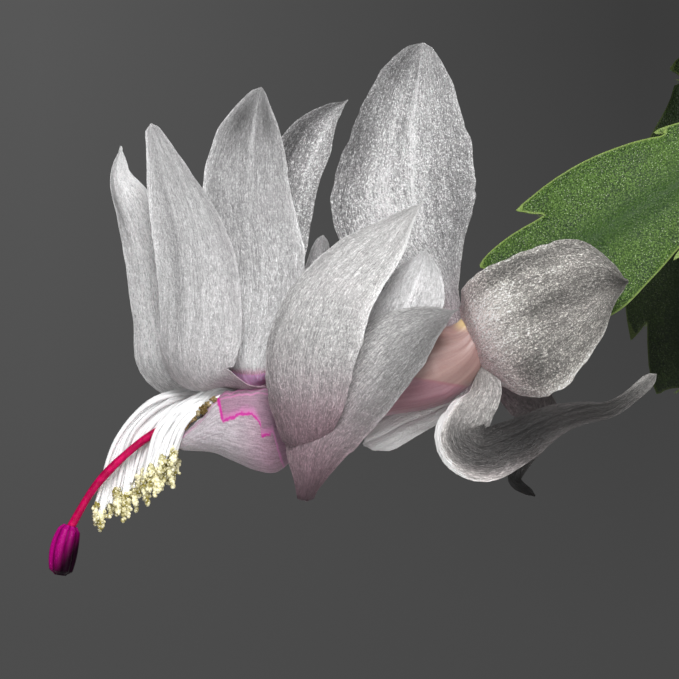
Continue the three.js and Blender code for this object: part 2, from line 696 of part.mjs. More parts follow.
// The lower lip goes on from the tube as an open trough. Each row is [x, bottom, height of the margin,
// half width].
const LIP = [
  [-7, -17.6, -7.8, 6],
  [-9.6, -19.7, -7.3, 6.2],
  [-12.5, -19.3, -7, 6.1],
  [-15.5, -18.1, -7.6, 5.5],
  [-18.2, -16.9, -8.5, 4.7],
  [-20.4, -16.4, -11.4, 3.6],
  [-22.6, -16.3, -13.4, 2.1],
  [-24.3, -16.2, -15, 1],
];
const LIP_WRAP = THREE.MathUtils.degToRad(115);

function lipSolid() {
  const columnCount = 6;
  const grid = LIP.map(([x, bottom, margin, half]) =>
    Array.from({ length: columnCount + 1 }, (_, j) => {
      const turn = LIP_WRAP * ((2 * j) / columnCount - 1);
      const lift = (1 - Math.cos(turn)) / (1 - Math.cos(LIP_WRAP));
      return vec(x, half * Math.sin(turn), bottom + (margin - bottom) * lift);
    }),
  );
  return blade(grid);
}

function perianthSolid() {
  return join([tubeSolid(), lipSolid(), ...Object.values(TEPALS).map(tepalSolid)]);
}

// Stamens: two bundles leave a collar inside the tube, one on each side of the style. Past the mouth each
// bundle fans out in three lanes of filaments, which don't cross; fan is 0 for the longest and 1 for the
// shortest.
const COLLAR_AT = 0.62;
const FILAMENT_RADIUS = 0.32;
const BUNDLE_RADIUS = 1.2;
const LANES = 3;
const BUNDLES = [
  { side: 1, layers: 4, fanFrom: 0 },
  { side: -1, layers: 3, fanFrom: 0.62 },
];

function filamentLine(side, lane, layer, fan) {
  const mix = (a, b) => THREE.MathUtils.lerp(a, b, fan);
  const near = side * (1.4 + 0.66 * lane);
  const wide = side * (1.5 + 0.85 * lane);
  return [
    vec(-12.6, near, -8.5 - 0.7 * layer),
    vec(mix(-19, -17.2), near, -8 - 0.35 * layer),
    vec(mix(-28, -21), wide, mix(-9.4, -10.3)),
    vec(mix(-33.6, -23.2), wide, mix(-15, -12.7)),
    vec(mix(-36.6, -24.8), wide, mix(-24.8, -16.6) - 1.6 * (lane % 2)),
  ];
}

function antherSolid(end) {
  const anther = new THREE.OctahedronGeometry(1, 0).scale(0.75, 0.75, 1.5);
  return solidFromGeometry(anther.translate(end.x, end.y, end.z - 0.9));
}

function bundleSolid({ side, layers, fanFrom }, centre) {
  const core = [vec(centre.x, side * 2.5, centre.z), vec(-5, side * 2.4, -8.4), vec(-13.4, side * 2.2, -9.4)];
  const solids = [tube(core, () => BUNDLE_RADIUS, 6, 3)];
  for (let layer = 0; layer < layers; layer++) {
    for (let lane = 0; lane < LANES; lane++) {
      const fan = THREE.MathUtils.lerp(fanFrom, 1, (layer * LANES + lane) / (layers * LANES - 1));
      const line = filamentLine(side, lane, layer, fan);
      solids.push(tube(line, () => FILAMENT_RADIUS, 4, 4), antherSolid(line[line.length - 1]));
    }
  }
  return join(solids);
}

function stamensSolid() {
  const curve = new THREE.CatmullRomCurve3(TUBE_LINE, false, "centripetal");
  const centre = curve.getPointAt(COLLAR_AT);
  const outer = tubeRadius(COLLAR_AT) - TUBE_WALL - FIT_GAP - 0.65;
  const profile = [[1.5, -1.4], [outer, -1.4], [outer, 1.4], [1.5, 1.4], [1.5, -1.4]];
  const ring = new THREE.LatheGeometry(profile.map(([r, y]) => new THREE.Vector2(r, y)), TUBE_SIDES);
  const lean = new THREE.Quaternion().setFromUnitVectors(vec(0, 1, 0), curve.getTangentAt(COLLAR_AT));
  ring.applyQuaternion(lean);
  ring.translate(centre.x, centre.y, centre.z);
  return join([solidFromGeometry(ring), ...BUNDLES.map((bundle) => bundleSolid(bundle, centre))]);
}

// Pistil: the style runs through the collar and between the filaments, and ends in the lobed stigma
const STYLE_RADIUS = 0.65;
const STYLE_LINE = [
  vec(13.3, 0, -4.1),
  vec(8, 0, -5.3),
  vec(0, 0, -7.6),
  vec(-8, 0, -9.6),
  vec(-15, 0, -9.6),
  vec(-22, 0, -11.4),
  vec(-28, 0, -14.2),
  vec(-32, 0, -17.2),
  vec(-36.6, 0, -22),
  vec(-40.8, 0, -29),
];
const STIGMA_LINE = [vec(-40.3, 0, -27.9), vec(-41.3, 0, -31.4), vec(-41.9, 0, -35.3)];

function pistilSolid() {
  const lobes = (turn) => 1 + 0.09 * Math.cos(6 * turn);
  const barrel = (share, turn) => (1.1 + 0.95 * Math.sin(Math.PI * (0.12 + 0.72 * share))) * lobes(turn);
  return join([tube(STYLE_LINE, () => STYLE_RADIUS, 6, 18), tube(STIGMA_LINE, barrel, 12, 5)]);
}

// The whole plant
const plant = new THREE.Group();
plant.add(meshOf("pot", potSolid(), CLAY));

const drawnFeet = STEMS.map(([azimuth, distance]) => polar(azimuth, 0).multiplyScalar(distance));
const holes = [...drawnFeet, BLOOM_STEM.foot, NEIGHBOUR.foot].map(({ x, y }) => {
  const ends = [vec(x, y, SOIL_TOP - ROOT_DEPTH - FIT_GAP), vec(x, y, SOIL_TOP + 20)];
  return tube(ends, () => ROOT_RADIUS + FIT_GAP + 0.1, 6, 1);
});
plant.add(meshOf("soil", soilSolid().subtract(join(holes)), SOIL));

STEMS.forEach((stem, index) => {
  plant.add(meshOf(`stem_${String(index + 1).padStart(2, "0")}`, stemSolid(stem, index), GREEN));
});
plant.add(meshOf("stem_with_bloom", setStemSolid(BLOOM_STEM), GREEN));
plant.add(meshOf("stem_behind_bloom", setStemSolid(NEIGHBOUR), GREEN));

const bloom = new THREE.Group();
bloom.position.copy(BLOOM_AT);
bloom.add(meshOf("bloom_perianth", perianthSolid(), WHITE));
bloom.add(meshOf("bloom_stamens", stamensSolid(), FILAMENT));
bloom.add(meshOf("bloom_pistil", pistilSolid(), MAGENTA));
plant.add(bloom);

export default plant;
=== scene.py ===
import math
import random

import bpy
import numpy as np
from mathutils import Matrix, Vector, noise
from mathutils.geometry import delaunay_2d_cdt


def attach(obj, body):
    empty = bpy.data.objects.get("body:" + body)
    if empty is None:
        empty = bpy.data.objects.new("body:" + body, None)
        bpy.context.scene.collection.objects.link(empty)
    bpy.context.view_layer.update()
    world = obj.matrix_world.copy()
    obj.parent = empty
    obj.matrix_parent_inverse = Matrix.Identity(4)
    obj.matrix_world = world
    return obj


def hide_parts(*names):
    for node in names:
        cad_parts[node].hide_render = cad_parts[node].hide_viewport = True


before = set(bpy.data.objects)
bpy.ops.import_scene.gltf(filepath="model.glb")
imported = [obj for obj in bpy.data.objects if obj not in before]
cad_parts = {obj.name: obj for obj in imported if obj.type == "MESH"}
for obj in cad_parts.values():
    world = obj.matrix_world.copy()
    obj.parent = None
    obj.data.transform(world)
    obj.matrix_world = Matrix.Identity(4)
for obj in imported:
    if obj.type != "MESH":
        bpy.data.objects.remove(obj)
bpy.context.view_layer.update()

MM = 0.001
BLOOM_AT = np.array([-172.0, -8.0, 205.0])


# Numbers and curves
def unit(v):
    v = np.asarray(v, float)
    return v / max(np.linalg.norm(v), 1e-12)


def draw(seed):
    """A repeatable value from 0 to 1 for a seed."""
    value = math.sin(seed * 12.9898) * 43758.5453
    return value - math.floor(value)


def smooth(low, high, x):
    """A soft step from 0 at low to 1 at high."""
    t = np.clip((np.asarray(x, float) - low) / (high - low), 0, 1)
    return t * t * (3 - 2 * t)


def along(values, share):
    """A smooth value at a share of the way along a list of evenly spaced values."""
    place = min(max(share, 0), 1) * (len(values) - 1)
    index = min(int(place), len(values) - 2)
    a, b, c, d = (values[min(max(index + k, 0), len(values) - 1)] for k in (-1, 0, 1, 2))
    t = place - index
    return b + 0.5 * t * (c - a + t * (2 * a - 5 * b + 4 * c - d + t * (3 * (b - c) + d - a)))


class Curve:
    """A smooth curve through points, read at even shares of its length."""

    def __init__(self, points, per_span=40):
        p = [np.array(q, float) for q in points]
        p = [2 * p[0] - p[1], *p, 2 * p[-1] - p[-2]]
        fine = []
        for k in range(1, len(p) - 2):
            fine += [self.span(p[k - 1 : k + 3], t / per_span) for t in range(per_span)]
        self.points = np.array(fine + [p[-2]])
        steps = np.linalg.norm(np.diff(self.points, axis=0), axis=1)
        self.lengths = np.concatenate([[0], np.cumsum(steps)])
        self.length = self.lengths[-1]

    @staticmethod
    def span(p, t):
        d = [max(math.sqrt(np.linalg.norm(p[k + 1] - p[k])), 1e-4) for k in range(3)]
        m1 = (p[1] - p[0]) / d[0] - (p[2] - p[0]) / (d[0] + d[1]) + (p[2] - p[1]) / d[1]
        m2 = (p[2] - p[1]) / d[1] - (p[3] - p[1]) / (d[1] + d[2]) + (p[3] - p[2]) / d[2]
        m1, m2 = m1 * d[1], m2 * d[1]
        rise = p[2] - p[1]
        return p[1] + m1 * t + (3 * rise - 2 * m1 - m2) * t**2 + (m1 + m2 - 2 * rise) * t**3

    def at(self, share):
        s = share * self.length
        return np.array([np.interp(s, self.lengths, self.points[:, k]) for k in range(3)])

    def tangent(self, share):
        a, b = max(share - 0.005, 0), min(share + 0.005, 1)
        return unit(self.at(b) - self.at(a))


def wobble(p, scale, seed=0.0):
    """A smooth random value from about -1 to 1 at a point."""
    return noise.noise(Vector((p[0] * scale + seed, p[1] * scale - seed, p[2] * scale + 2 * seed)))


def turns(sides, shift=0.0):
    """Even turns round a circle, in radians."""
    return [2 * math.pi * (k + shift) / sides for k in range(sides)]


def circle(radius, z, sides, shift=0.0):
    return [(radius * math.cos(t), radius * math.sin(t), z) for t in turns(sides, shift)]


# Meshes
def mesh_object(name, points, faces, material, at=(0, 0, 0), extra=None, sharp=50):
    """A mesh in metres from points in millimetres, with point values for the material to read."""
    mesh = bpy.data.meshes.new(name)
    co = (np.asarray(points, float) + np.asarray(at, float)) * MM
    mesh.from_pydata(co.tolist(), [], faces)
    for key, values in (extra or {}).items():
        values = np.asarray(values, np.float32)
        kind, field = ("FLOAT", "value") if values.ndim == 1 else ("FLOAT_VECTOR", "vector")
        mesh.attributes.new(key, kind, "POINT").data.foreach_set(field, values.ravel())
    mesh.validate()
    mesh.shade_smooth()
    mesh.set_sharp_from_angle(angle=math.radians(sharp))
    mesh.materials.append(material)
    thing = bpy.data.objects.new(name, mesh)
    bpy.context.scene.collection.objects.link(thing)
    return thing


def kept(thing, slot_name, *nodes):
    """The object rides on the part in place of CAD nodes, which it hides; slot_name is not used."""
    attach(thing, "root")
    if nodes:
        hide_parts(*nodes)


class Parts:
    """Points, faces and point values gathered for one mesh."""

    def __init__(self):
        self.points, self.faces, self.extra = [], [], {}

    def add(self, points, faces, **extra):
        start = len(self.points)
        self.points += [tuple(p) for p in points]
        self.faces += [tuple(start + k for k in face) for face in faces]
        for key, values in extra.items():
            self.extra.setdefault(key, []).extend(values)

    def made(self, name, material, at=(0, 0, 0), sharp=50):
        return mesh_object(name, self.points, self.faces, material, at, self.extra, sharp)


def grid_faces(rows, columns, start=0, turned=False, closed=False):
    """Four-cornered faces over rows of points; closed joins the last column to the first."""
    faces = []
    for i in range(rows - 1):
        low, high = start + i * columns, start + (i + 1) * columns
        for j in range(columns if closed else columns - 1):
            k = (j + 1) % columns
            face = (low + j, low + k, high + k, high + j)
            faces.append(face[::-1] if turned else face)
    return faces


def end_caps(rows, sides):
    """The faces over the first and the last ring of a tube."""
    return [tuple(range(sides))[::-1], tuple(range((rows - 1) * sides, rows * sides))]


def plate(grid, thick):
    """A thin closed skin on both sides of a grid of points; thick holds half the thickness at each."""
    rows, columns = grid.shape[:2]
    normals = np.cross(np.gradient(grid, axis=1), np.gradient(grid, axis=0))
    normals /= np.maximum(np.linalg.norm(normals, axis=2, keepdims=True), 1e-9)
    skins = [(grid + sign * normals * thick[..., None]).reshape(-1, 3) for sign in (1, -1)]
    count = rows * columns
    faces = grid_faces(rows, columns) + grid_faces(rows, columns, count, turned=True)
    rim = list(range(columns))
    rim += [i * columns + columns - 1 for i in range(1, rows)]
    rim += [(rows - 1) * columns + j for j in range(columns - 2, -1, -1)]
    rim += [i * columns for i in range(rows - 2, 0, -1)]
    faces += [(b, a, count + a, count + b) for a, b in zip(rim, rim[1:] + rim[:1])]
    return np.concatenate(skins), faces


def twice(values):
    """The values of a sheet's points for both of its skins."""
    flat = values.reshape(-1, 3) if values.shape[-1] == 3 else values.ravel()
    return np.concatenate([flat, flat]).tolist()


def tube(line, radius_at, sides=12, steps=24):
    """A round tube along a curve; radius_at takes the share of the length and the turn."""
    curve = Curve(line)
    points = []
    side = np.cross(curve.tangent(0), [0.3, 1, 0.2])
    for i in range(steps + 1):
        share = i / steps
        tangent = curve.tangent(share)
        side = unit(side - tangent * side.dot(tangent))
        other = np.cross(tangent, side)
        for turn in turns(sides):
            out = side * math.cos(turn) + other * math.sin(turn)
            points.append(curve.at(share) + out * radius_at(share, turn))
    return points, grid_faces(steps + 1, sides, closed=True) + end_caps(steps + 1, sides)


# Materials
class Value:
    """An output inside a node graph, which adds, subtracts and multiplies as a number does."""

    def __init__(self, graph, socket):
        self.graph, self.socket = graph, socket

    def __add__(self, other):
        return self.graph.math("ADD", self, other)

    def __sub__(self, other):
        return self.graph.math("SUBTRACT", self, other)

    def __rsub__(self, other):
        return self.graph.math("SUBTRACT", other, self)

    def __mul__(self, other):
        return self.graph.math("MULTIPLY", self, other)


class Graph:
    """A node graph, with one short call for each kind of node."""

    def __init__(self, tree):
        self.tree = tree

    def put(self, socket, value):
        if isinstance(value, Value):
            self.tree.links.new(value.socket, socket)
        else:
            socket.default_value = (*value, 1) if socket.type == "RGBA" else value

    def node(self, kind, inputs=None, output=0, **settings):
        made = self.tree.nodes.new(kind)
        for key, value in settings.items():
            setattr(made, key, value)
        for key, value in (inputs or {}).items():
            self.put(made.inputs[key], value)
        return Value(self, made.outputs[output])

    def math(self, operation, a, b=0.0, clamp=False):
        return self.node("ShaderNodeMath", {0: a, 1: b}, operation=operation, use_clamp=clamp)

    def part(self, vector, axis):
        return self.node("ShaderNodeSeparateXYZ", {0: vector}, axis)


class Skin(Graph):
    """The graph of a material."""

    def __init__(self, name):
        self.material = bpy.data.materials.new(name)
        self.material.use_nodes = True
        super().__init__(self.material.node_tree)
        self.tree.nodes.clear()
        shader = self.node("ShaderNodeBsdfPrincipled")
        self.shader = shader.socket.node
        self.put(self.tree.nodes.new("ShaderNodeOutputMaterial").inputs["Surface"], shader)
        self.where = self.node("ShaderNodeNewGeometry", output="Position")

    def value(self, name):
        return self.node("ShaderNodeAttribute", output="Fac", attribute_name=name)

    def vector(self, name):
        return self.node("ShaderNodeAttribute", output="Vector", attribute_name=name)

    def noise(self, vector, scale, detail=3.0, rough=0.55, bend=0.0):
        inputs = {"Vector": vector, "Scale": scale, "Detail": detail, "Roughness": rough, "Distortion": bend}
        return self.node("ShaderNodeTexNoise", inputs)

    def streaks(self, across, along, detail=3.0, rough=0.55, bend=0.0, shift=(0, 0, 0)):
        """Noise with its own scale across and along the way the piece grew."""
        inputs = {"Vector": self.vector("grow"), "Scale": (across, along, 1), "Location": shift}
        return self.noise(self.node("ShaderNodeMapping", inputs), 1.0, detail, rough, bend)

    def cells(self, scale):
        return self.node("ShaderNodeTexVoronoi", {"Vector": self.where, "Scale": scale}, "Distance", feature="F1")

    def step(self, value, low, high, to_low=0.0, to_high=1.0):
        inputs = {"Value": value, "From Min": low, "From Max": high, "To Min": to_low, "To Max": to_high}
        return self.node("ShaderNodeMapRange", inputs, interpolation_type="SMOOTHSTEP")

    def mix(self, share, a, b, blend="MIX"):
        inputs = {0: share, 6: a, 7: b}
        return self.node("ShaderNodeMix", inputs, 2, data_type="RGBA", blend_type=blend, clamp_factor=True)

    def curve(self, value, points, low, high):
        """A value read off a bent line: points are (input, output) pairs, both scaled to 0 to 1 inside."""
        (x0, x1), (y0, y1) = low, high
        made = self.node("ShaderNodeFloatCurve", {"Value": self.math("DIVIDE", value - x0, x1 - x0, True)})
        mapping = made.socket.node.mapping
        line = mapping.curves[0]
        while len(line.points) < len(points):
            line.points.new(0.5, 0.5)
        for point, (x, y) in zip(line.points, points):
            point.location = (x - x0) / (x1 - x0), (y - y0) / (y1 - y0)
            point.handle_type = "VECTOR"
        mapping.update()
        return made * (y1 - y0) + y0

    def bump(self, height, distance, strength=1.0):
        return self.node("ShaderNodeBump", {"Height": height, "Distance": distance, "Strength": strength})

    def finish(self, colour, roughness, normal, specular=0.5, soft=None):
        """The material; soft holds the weight, the radii and the scale of the light under its skin."""
        inputs = {"Base Color": colour, "Roughness": roughness, "Normal": normal, "Specular IOR Level": specular}
        if soft:
            inputs.update(zip(("Subsurface Weight", "Subsurface Radius", "Subsurface Scale"), soft))
        for key, value in inputs.items():
            self.put(self.shader.inputs[key], value)
        return self.material


def petal_material():
    """White petals: fine lengthwise fibres and a crinkled grain with painted glints, pink towards the foot, and
    painted shade and light from their tone values.
    """
    g = Skin("petal")
    crinkle = g.value("crinkle")
    rough_skin = g.step(crinkle, 0.3, 0.9)
    bands = g.streaks(10, 1.3, 4, 0.6, 0.3)
    fibres = g.streaks(46, 6, 3, 0.65, 0.6)
    streaks = g.streaks(44, 12, 2, 0.8, 0.6, (3, 7, 0))
    pebbles = g.streaks(42, 26, 2, 0.8, 1.0, (5, 2, 0))
    hairs = g.streaks(50, 17, 1, 0.8, 0.8, (1, 2, 0))
    dots = g.streaks(48, 36, 1, 0.8, 0.8, (7, 3, 0))
    glints = hairs + rough_skin * (dots - hairs)
    dust = g.noise(g.where, 3600, 2, 0.8)
    clouds = g.noise(g.where, 110, 3, 0.5)
    grain = streaks + rough_skin * (pebbles - streaks)
    fine = grain * 0.6 + dust * 0.4
    fine = (fine - 0.5) * g.step(crinkle, 0, 1, 1.5, 4.2)
    long = fibres * 0.65 + bands * 0.35
    long = (long - 0.5) * g.step(crinkle, 0, 1, 1.1, 3.6)
    tone = fine + long + 0.5
    white = g.mix(g.step(tone, -0.3, 1.3), (0.22, 0.215, 0.22), (0.85, 0.845, 0.85))
    white = g.mix(g.step(clouds, 0.5, 0.75) * 0.2, white, (0.6, 0.56, 0.58))
    blush = g.value("blush")
    ragged = blush + (fibres - 0.5) * 0.35
    pale_pink = g.mix(g.step(ragged, 0.05, 0.8), white, (0.8, 0.52, 0.62), "MULTIPLY")
    pink = g.mix(g.step(ragged, 0.8, 1.2), pale_pink, (0.72, 0.28, 0.5))
    warm = g.mix(g.value("warm"), pink, (0.93, 0.86, 0.72), "MULTIPLY")
    # Painted glints: bright flecks where the glint pattern peaks, stronger on crinkled skin.
    painted_glints = g.step(glints, 0.5, 0.64) * g.step(crinkle, 0, 1, 0.06, 1.6)
    # The tone value carries painted shade and painted light for each place of a tepal.
    level = g.value("tone") * (painted_glints + g.step(crinkle, 0.3, 1, 0.78, 0.52))
    level_grey = g.node("ShaderNodeCombineColor", {k: level for k in range(3)})
    tinted = g.mix(1.0, g.mix(1.0, warm, level_grey, "MULTIPLY"), (0.98, 0.97, 0.97), "DARKEN")
    height = fibres * 0.7 + grain * 0.9
    height = height * g.step(crinkle, 0, 1, 0.45, 1.4) + dust * 0.25
    normal = g.bump(height, 0.00045, 0.9)
    roughness = g.step(grain, 0.45, 0.66, 0.55, 0.2)
    return g.finish(tinted, roughness, normal, 0.5, (0.2, (1.0, 0.85, 0.9), 0.0006))


def tube_material():
    """The floral tube: salmon above and rose-pink below a fine crease, with a yellow blotch by the stem."""
    g = Skin("floral_tube")
    place = g.vector("place")
    x, z = g.part(place, 0), g.part(place, 2)
    fibres = g.streaks(15, 1.5, 3, 0.5, 0.1)
    dust = g.noise(g.where, 4300, 2, 0.8)
    crease = z - (x * -0.165 - 3.95)
    tone = g.step(fibres * 0.7 + dust * 0.3, 0.3, 0.7)
    upper = g.mix(tone, (0.273, 0.161, 0.15), (0.343, 0.224, 0.203))
    lower = g.mix(tone, (0.25, 0.117, 0.146), (0.343, 0.187, 0.218))
    colour = g.mix(g.step(crease, 0.25, -0.25), upper, lower)
    # Painted shade: a darker rose line along the crease.
    line = 1.0 - g.step(g.math("ABSOLUTE", crease), 0.05, 0.35)
    colour = g.mix(line * 0.55, colour, (0.289, 0.106, 0.137))
    yellow = g.step(x, 16.6, 18.4) * g.step(z, 0.8, 2.8)
    colour = g.mix(yellow * 0.7, colour, (0.9, 0.68, 0.3))
    colour = g.mix(g.step(g.value("inside"), 0.4, 0.6), colour, (0.72, 0.26, 0.48))
    height = fibres + dust * 0.3
    return g.finish(colour, 0.4, g.bump(height, 0.0002, 0.35), 0.45, (0.3, (1.0, 0.6, 0.5), 0.0012))


# The ragged edge of the pink on the lip, as x and z in the bloom's own frame.
THROAT_LINE = [
    (-18.2, -8.4), (-17.4, -12.1), (-16.0, -11.7), (-14.6, -11.1), (-13.2, -11.0), (-12.3, -11.7), (-11.7, -12.8),
    (-11.6, -14.4), (-9.9, -14.0), (-9.0, -17.5), (-8.0, -20.5),
]


def throat_material():
    """The lower lip: white below, pink above a ragged magenta line, with a pale double line along the rim."""
    g = Skin("throat")
    place = g.vector("place")
    fibres = g.streaks(60, 6, 4, 0.6, 0.3)
    grain = g.noise(g.where, 3600, 2, 0.8)
    x, z = g.part(place, 0), g.part(place, 2)
    jitter = (g.noise(g.where, 1400, 3, 0.6) - 0.5) * 1.1
    line = g.curve(x, THROAT_LINE, (-24.0, -6.0), (-20.0, -6.0))
    throat_shade_and_pink = g.step(x, -18.0, -9.5)
    above = z - line + jitter
    tone = g.step(fibres * 0.6 + grain * 0.4, 0.25, 0.75)
    white = g.mix(tone, (0.286, 0.252, 0.277), (0.706, 0.647, 0.689))
    # Painted shade deeper in the throat together with a pink tint: darker and pinker from x -18 to x -9.5, towards the
    # tube.
    white = g.mix(throat_shade_and_pink, white, (0.7, 0.48, 0.58), "MULTIPLY")
    pink = g.mix(tone, (0.232, 0.128, 0.192), (0.384, 0.224, 0.308))
    inside = g.step(above, -0.1, 0.25) * g.step(x, -18.6, -18.2)
    rim = g.value("rim")
    pair = g.math("MINIMUM", g.math("ABSOLUTE", rim - 0.3), g.math("ABSOLUTE", rim - 0.75))
    rim_lines = g.step(pair, 0.14, 0.04) * 0.6
    colour = g.mix(inside, white, pink)
    colour = g.mix(rim_lines, colour, (0.62, 0.2, 0.42))
    edge = 1.0 - g.step(g.math("ABSOLUTE", above), 0.05, 0.4)
    edge = edge * (g.step(x, -18.0, -17.4) * g.step(x, -10.0, -10.6))
    slant = z * 0.216 + x + 20.0
    slant = g.math("ABSOLUTE", slant + jitter * 0.4)
    left_edge = (1.0 - g.step(slant, 0.08, 0.36)) * g.step(z, -12.3, -11.8)
    edge = g.math("MAXIMUM", edge, left_edge)
    glow = g.step(above, 1.6, 0.1) * (inside * 0.5)
    colour = g.mix(glow, colour, (0.78, 0.2, 0.55))
    colour = g.mix(edge * 0.95, colour, (0.55, 0.01, 0.3))
    height = fibres * 0.9 + grain * 0.35
    return g.finish(colour, 0.42, g.bump(height, 0.0002, 0.7), 0.45, (0.3, (1.0, 0.6, 0.75), 0.001))


def leaf_material():
    """Flat green segments: fine pale speckle, painted shade along the midrib, lighter along the margins, and painted
    shade over the segments that stand in shade.
    """
    g = Skin("stem_green")
    leaf = g.vector("leaf")
    edge, rib = g.part(leaf, 0), g.part(leaf, 1)
    age = g.part(leaf, 2)
    speckle = g.noise(g.where, 4000, 2, 0.75)
    patches = g.noise(g.where, 240, 4, 0.6)
    cells = g.cells(2700)
    green = g.mix(g.step(patches, 0.3, 0.7), (0.006, 0.023, 0.002), (0.025, 0.06, 0.006))
    green = g.mix(g.step(speckle, 0.42, 0.66) * 0.8, green, (0.13, 0.235, 0.045))
    green = g.mix(g.step(cells, 0.24, 0.06) * 0.75, green, (0.56, 0.66, 0.42))
    green = g.mix(g.step(edge, 0.3, 0.06) * 0.5, green, (0.32, 0.432, 0.112))
    # Painted shade along the midrib.
    green = g.mix(g.step(rib, 2.2, 0.0) * 0.7, green, (0.02, 0.055, 0.008))
    green = g.mix(g.step(age, 0.6, 1.0) * 0.85, green, (0.22, 0.14, 0.08))
    green = g.mix(g.value("shade"), green, (0.03, 0.028, 0.028), "MULTIPLY")
    height = speckle * 0.6 + patches * 1.4
    height = height - cells * 0.5
    roughness = g.step(patches, 0.3, 0.7, 0.45, 0.6)
    return g.finish(green, roughness, g.bump(height, 0.0003, 0.6), 0.25, (0.06, (0.4, 1.0, 0.2), 0.0012))


def filament_material():
    g = Skin("filament")
    streaks = g.streaks(40, 5, 3)
    mottle = g.noise(g.where, 1500, 3)
    colour = g.mix(g.step(streaks, 0.3, 0.7), (0.92, 0.905, 0.915), (0.93, 0.93, 0.93))
    colour = g.mix(g.step(mottle, 0.5, 0.8) * 0.12, colour, (0.86, 0.74, 0.78))
    normal = g.bump(mottle, 0.0001, 0.5)
    return g.finish(colour, 0.35, normal, 0.5, (0.3, (1, 0.9, 0.9), 0.0006))


def anther_material():
    g = Skin("anther")
    knobs = g.cells(3200)
    patches = g.noise(g.where, 700, 3)
    colour = g.mix(g.step(patches, 0.35, 0.65), (0.24, 0.2, 0.03), (0.98, 0.93, 0.62))
    # Painted highlight: pale cream near the middle of each knob.
    colour = g.mix(g.step(knobs, 0.42, 0.1), colour, (1.0, 0.98, 0.86))
    colour = g.mix(g.value("shade"), colour, (0.3, 0.2, 0.12), "MULTIPLY")
    return g.finish(colour, 0.7, g.bump(knobs, 0.0003, -0.8), 0.3)


def style_material():
    g = Skin("style")
    mottle = g.noise(g.where, 900, 3)
    fine = g.noise(g.where, 4200, 2)
    colour = g.mix(g.step(mottle, 0.35, 0.65), (0.336, 0.00024, 0.048), (0.544, 0.0004, 0.088))
    colour = g.mix(g.step(fine, 0.58, 0.75) * 0.25, colour, (0.9, 0.06, 0.25))
    return g.finish(colour, 0.34, g.bump(fine, 0.00015, 0.5), 0.14)


def stigma_material():
    g = Skin("stigma")
    groove = g.value("groove")
    fine = g.noise(g.where, 3800, 3, 0.7)
    cells = g.cells(2600)
    # Painted shade in the grooves between the lobes, brighter magenta on their ridges.
    colour = g.mix(g.step(groove, 0.0, 0.6), (0.16, 0.00032, 0.072), (0.336, 0.0008, 0.152))
    # Painted shade on the lower right of the stigma.
    colour = g.mix(g.value("low"), colour, (0.02, 0.02, 0.03), "MULTIPLY")
    glints = g.step(fine, 0.5, 0.7) * g.step(groove, 0.3, 0.8)
    glints = glints * g.step(g.value("low"), 0.7, 0.2)
    colour = g.mix(glints * 0.4, colour, (0.74, 0.03, 0.42))
    return g.finish(colour, 0.4, g.bump(cells, 0.0003, -0.7), 0.08)


def clay_material():
    """Plain fired clay with fine throwing lines, pale mineral bloom and small pits."""
    g = Skin("clay")
    height_up = g.part(g.where, 2)
    rings = g.node("ShaderNodeCombineXYZ", {2: height_up})
    lines = g.noise(rings, 900, 2, 0.6)
    patches = g.noise(g.where, 22, 5, 0.6, 0.4)
    fine = g.noise(g.where, 900, 4, 0.7)
    pits = g.cells(420)
    colour = g.mix(g.step(patches, 0.3, 0.7), (0.31, 0.105, 0.048), (0.44, 0.18, 0.09))
    colour = g.mix(g.step(lines, 0.4, 0.7) * 0.25, colour, (0.6, 0.3, 0.18))
    colour = g.mix(g.step(fine, 0.52, 0.72) * 0.35, colour, (0.62, 0.36, 0.24))
    chalk = g.step(g.noise(g.where, 34, 6, 0.7, 0.8), 0.54, 0.7) * 0.45
    low = g.step(height_up, 0.05, 0.0, 0.3, 1.0)
    colour = g.mix(chalk * low, colour, (0.78, 0.68, 0.6))
    height = lines * 0.5 + fine * 0.8
    height = height - g.step(pits, 0.1, 0.0)
    return g.finish(colour, 0.86, g.bump(height, 0.0004, 0.5), 0.25)


def soil_material():
    g = Skin("soil")
    crumbs = g.cells(520)
    fine = g.noise(g.where, 1300, 5, 0.7)
    patches = g.noise(g.where, 60, 4)
    colour = g.mix(g.step(patches, 0.3, 0.7), (0.022, 0.014, 0.009), (0.06, 0.038, 0.024))
    colour = g.mix(g.step(fine, 0.5, 0.72), colour, (0.13, 0.085, 0.05))
    height = fine * 0.8 - crumbs
    return g.finish(colour, 0.95, g.bump(height, 0.0012, 0.8), 0.15)


def chip_material():
    g = Skin("bark_and_grit")
    shade = g.value("shade")
    fine = g.noise(g.where, 1500, 4, 0.7)
    bark = g.mix(g.step(shade, 0.0, 0.85), (0.03, 0.017, 0.01), (0.17, 0.1, 0.055))
    colour = g.mix(g.step(shade, 0.93, 0.95), bark, (0.72, 0.7, 0.65))
    colour = g.mix(fine * 0.5, colour, (0.05, 0.03, 0.02))
    return g.finish(colour, 0.9, g.bump(fine, 0.0005, 0.6), 0.2)


def floor_material():
    g = Skin("floor")
    cloud = g.noise(g.where, 3, 3)
    colour = g.mix(g.step(cloud, 0.3, 0.7), (0.5, 0.5, 0.5), (0.55, 0.55, 0.55))
    return g.finish(colour, 0.7, g.bump(g.noise(g.where, 400, 2), 0.0002, 0.2))


PETAL = petal_material()
TUBE = tube_material()
THROAT = throat_material()
LEAF = leaf_material()
FILAMENT = filament_material()
ANTHER = anther_material()
STYLE = style_material()
STIGMA = stigma_material()
CLAY = clay_material()
SOIL = soil_material()
CHIPS = chip_material()
FLOOR = floor_material()

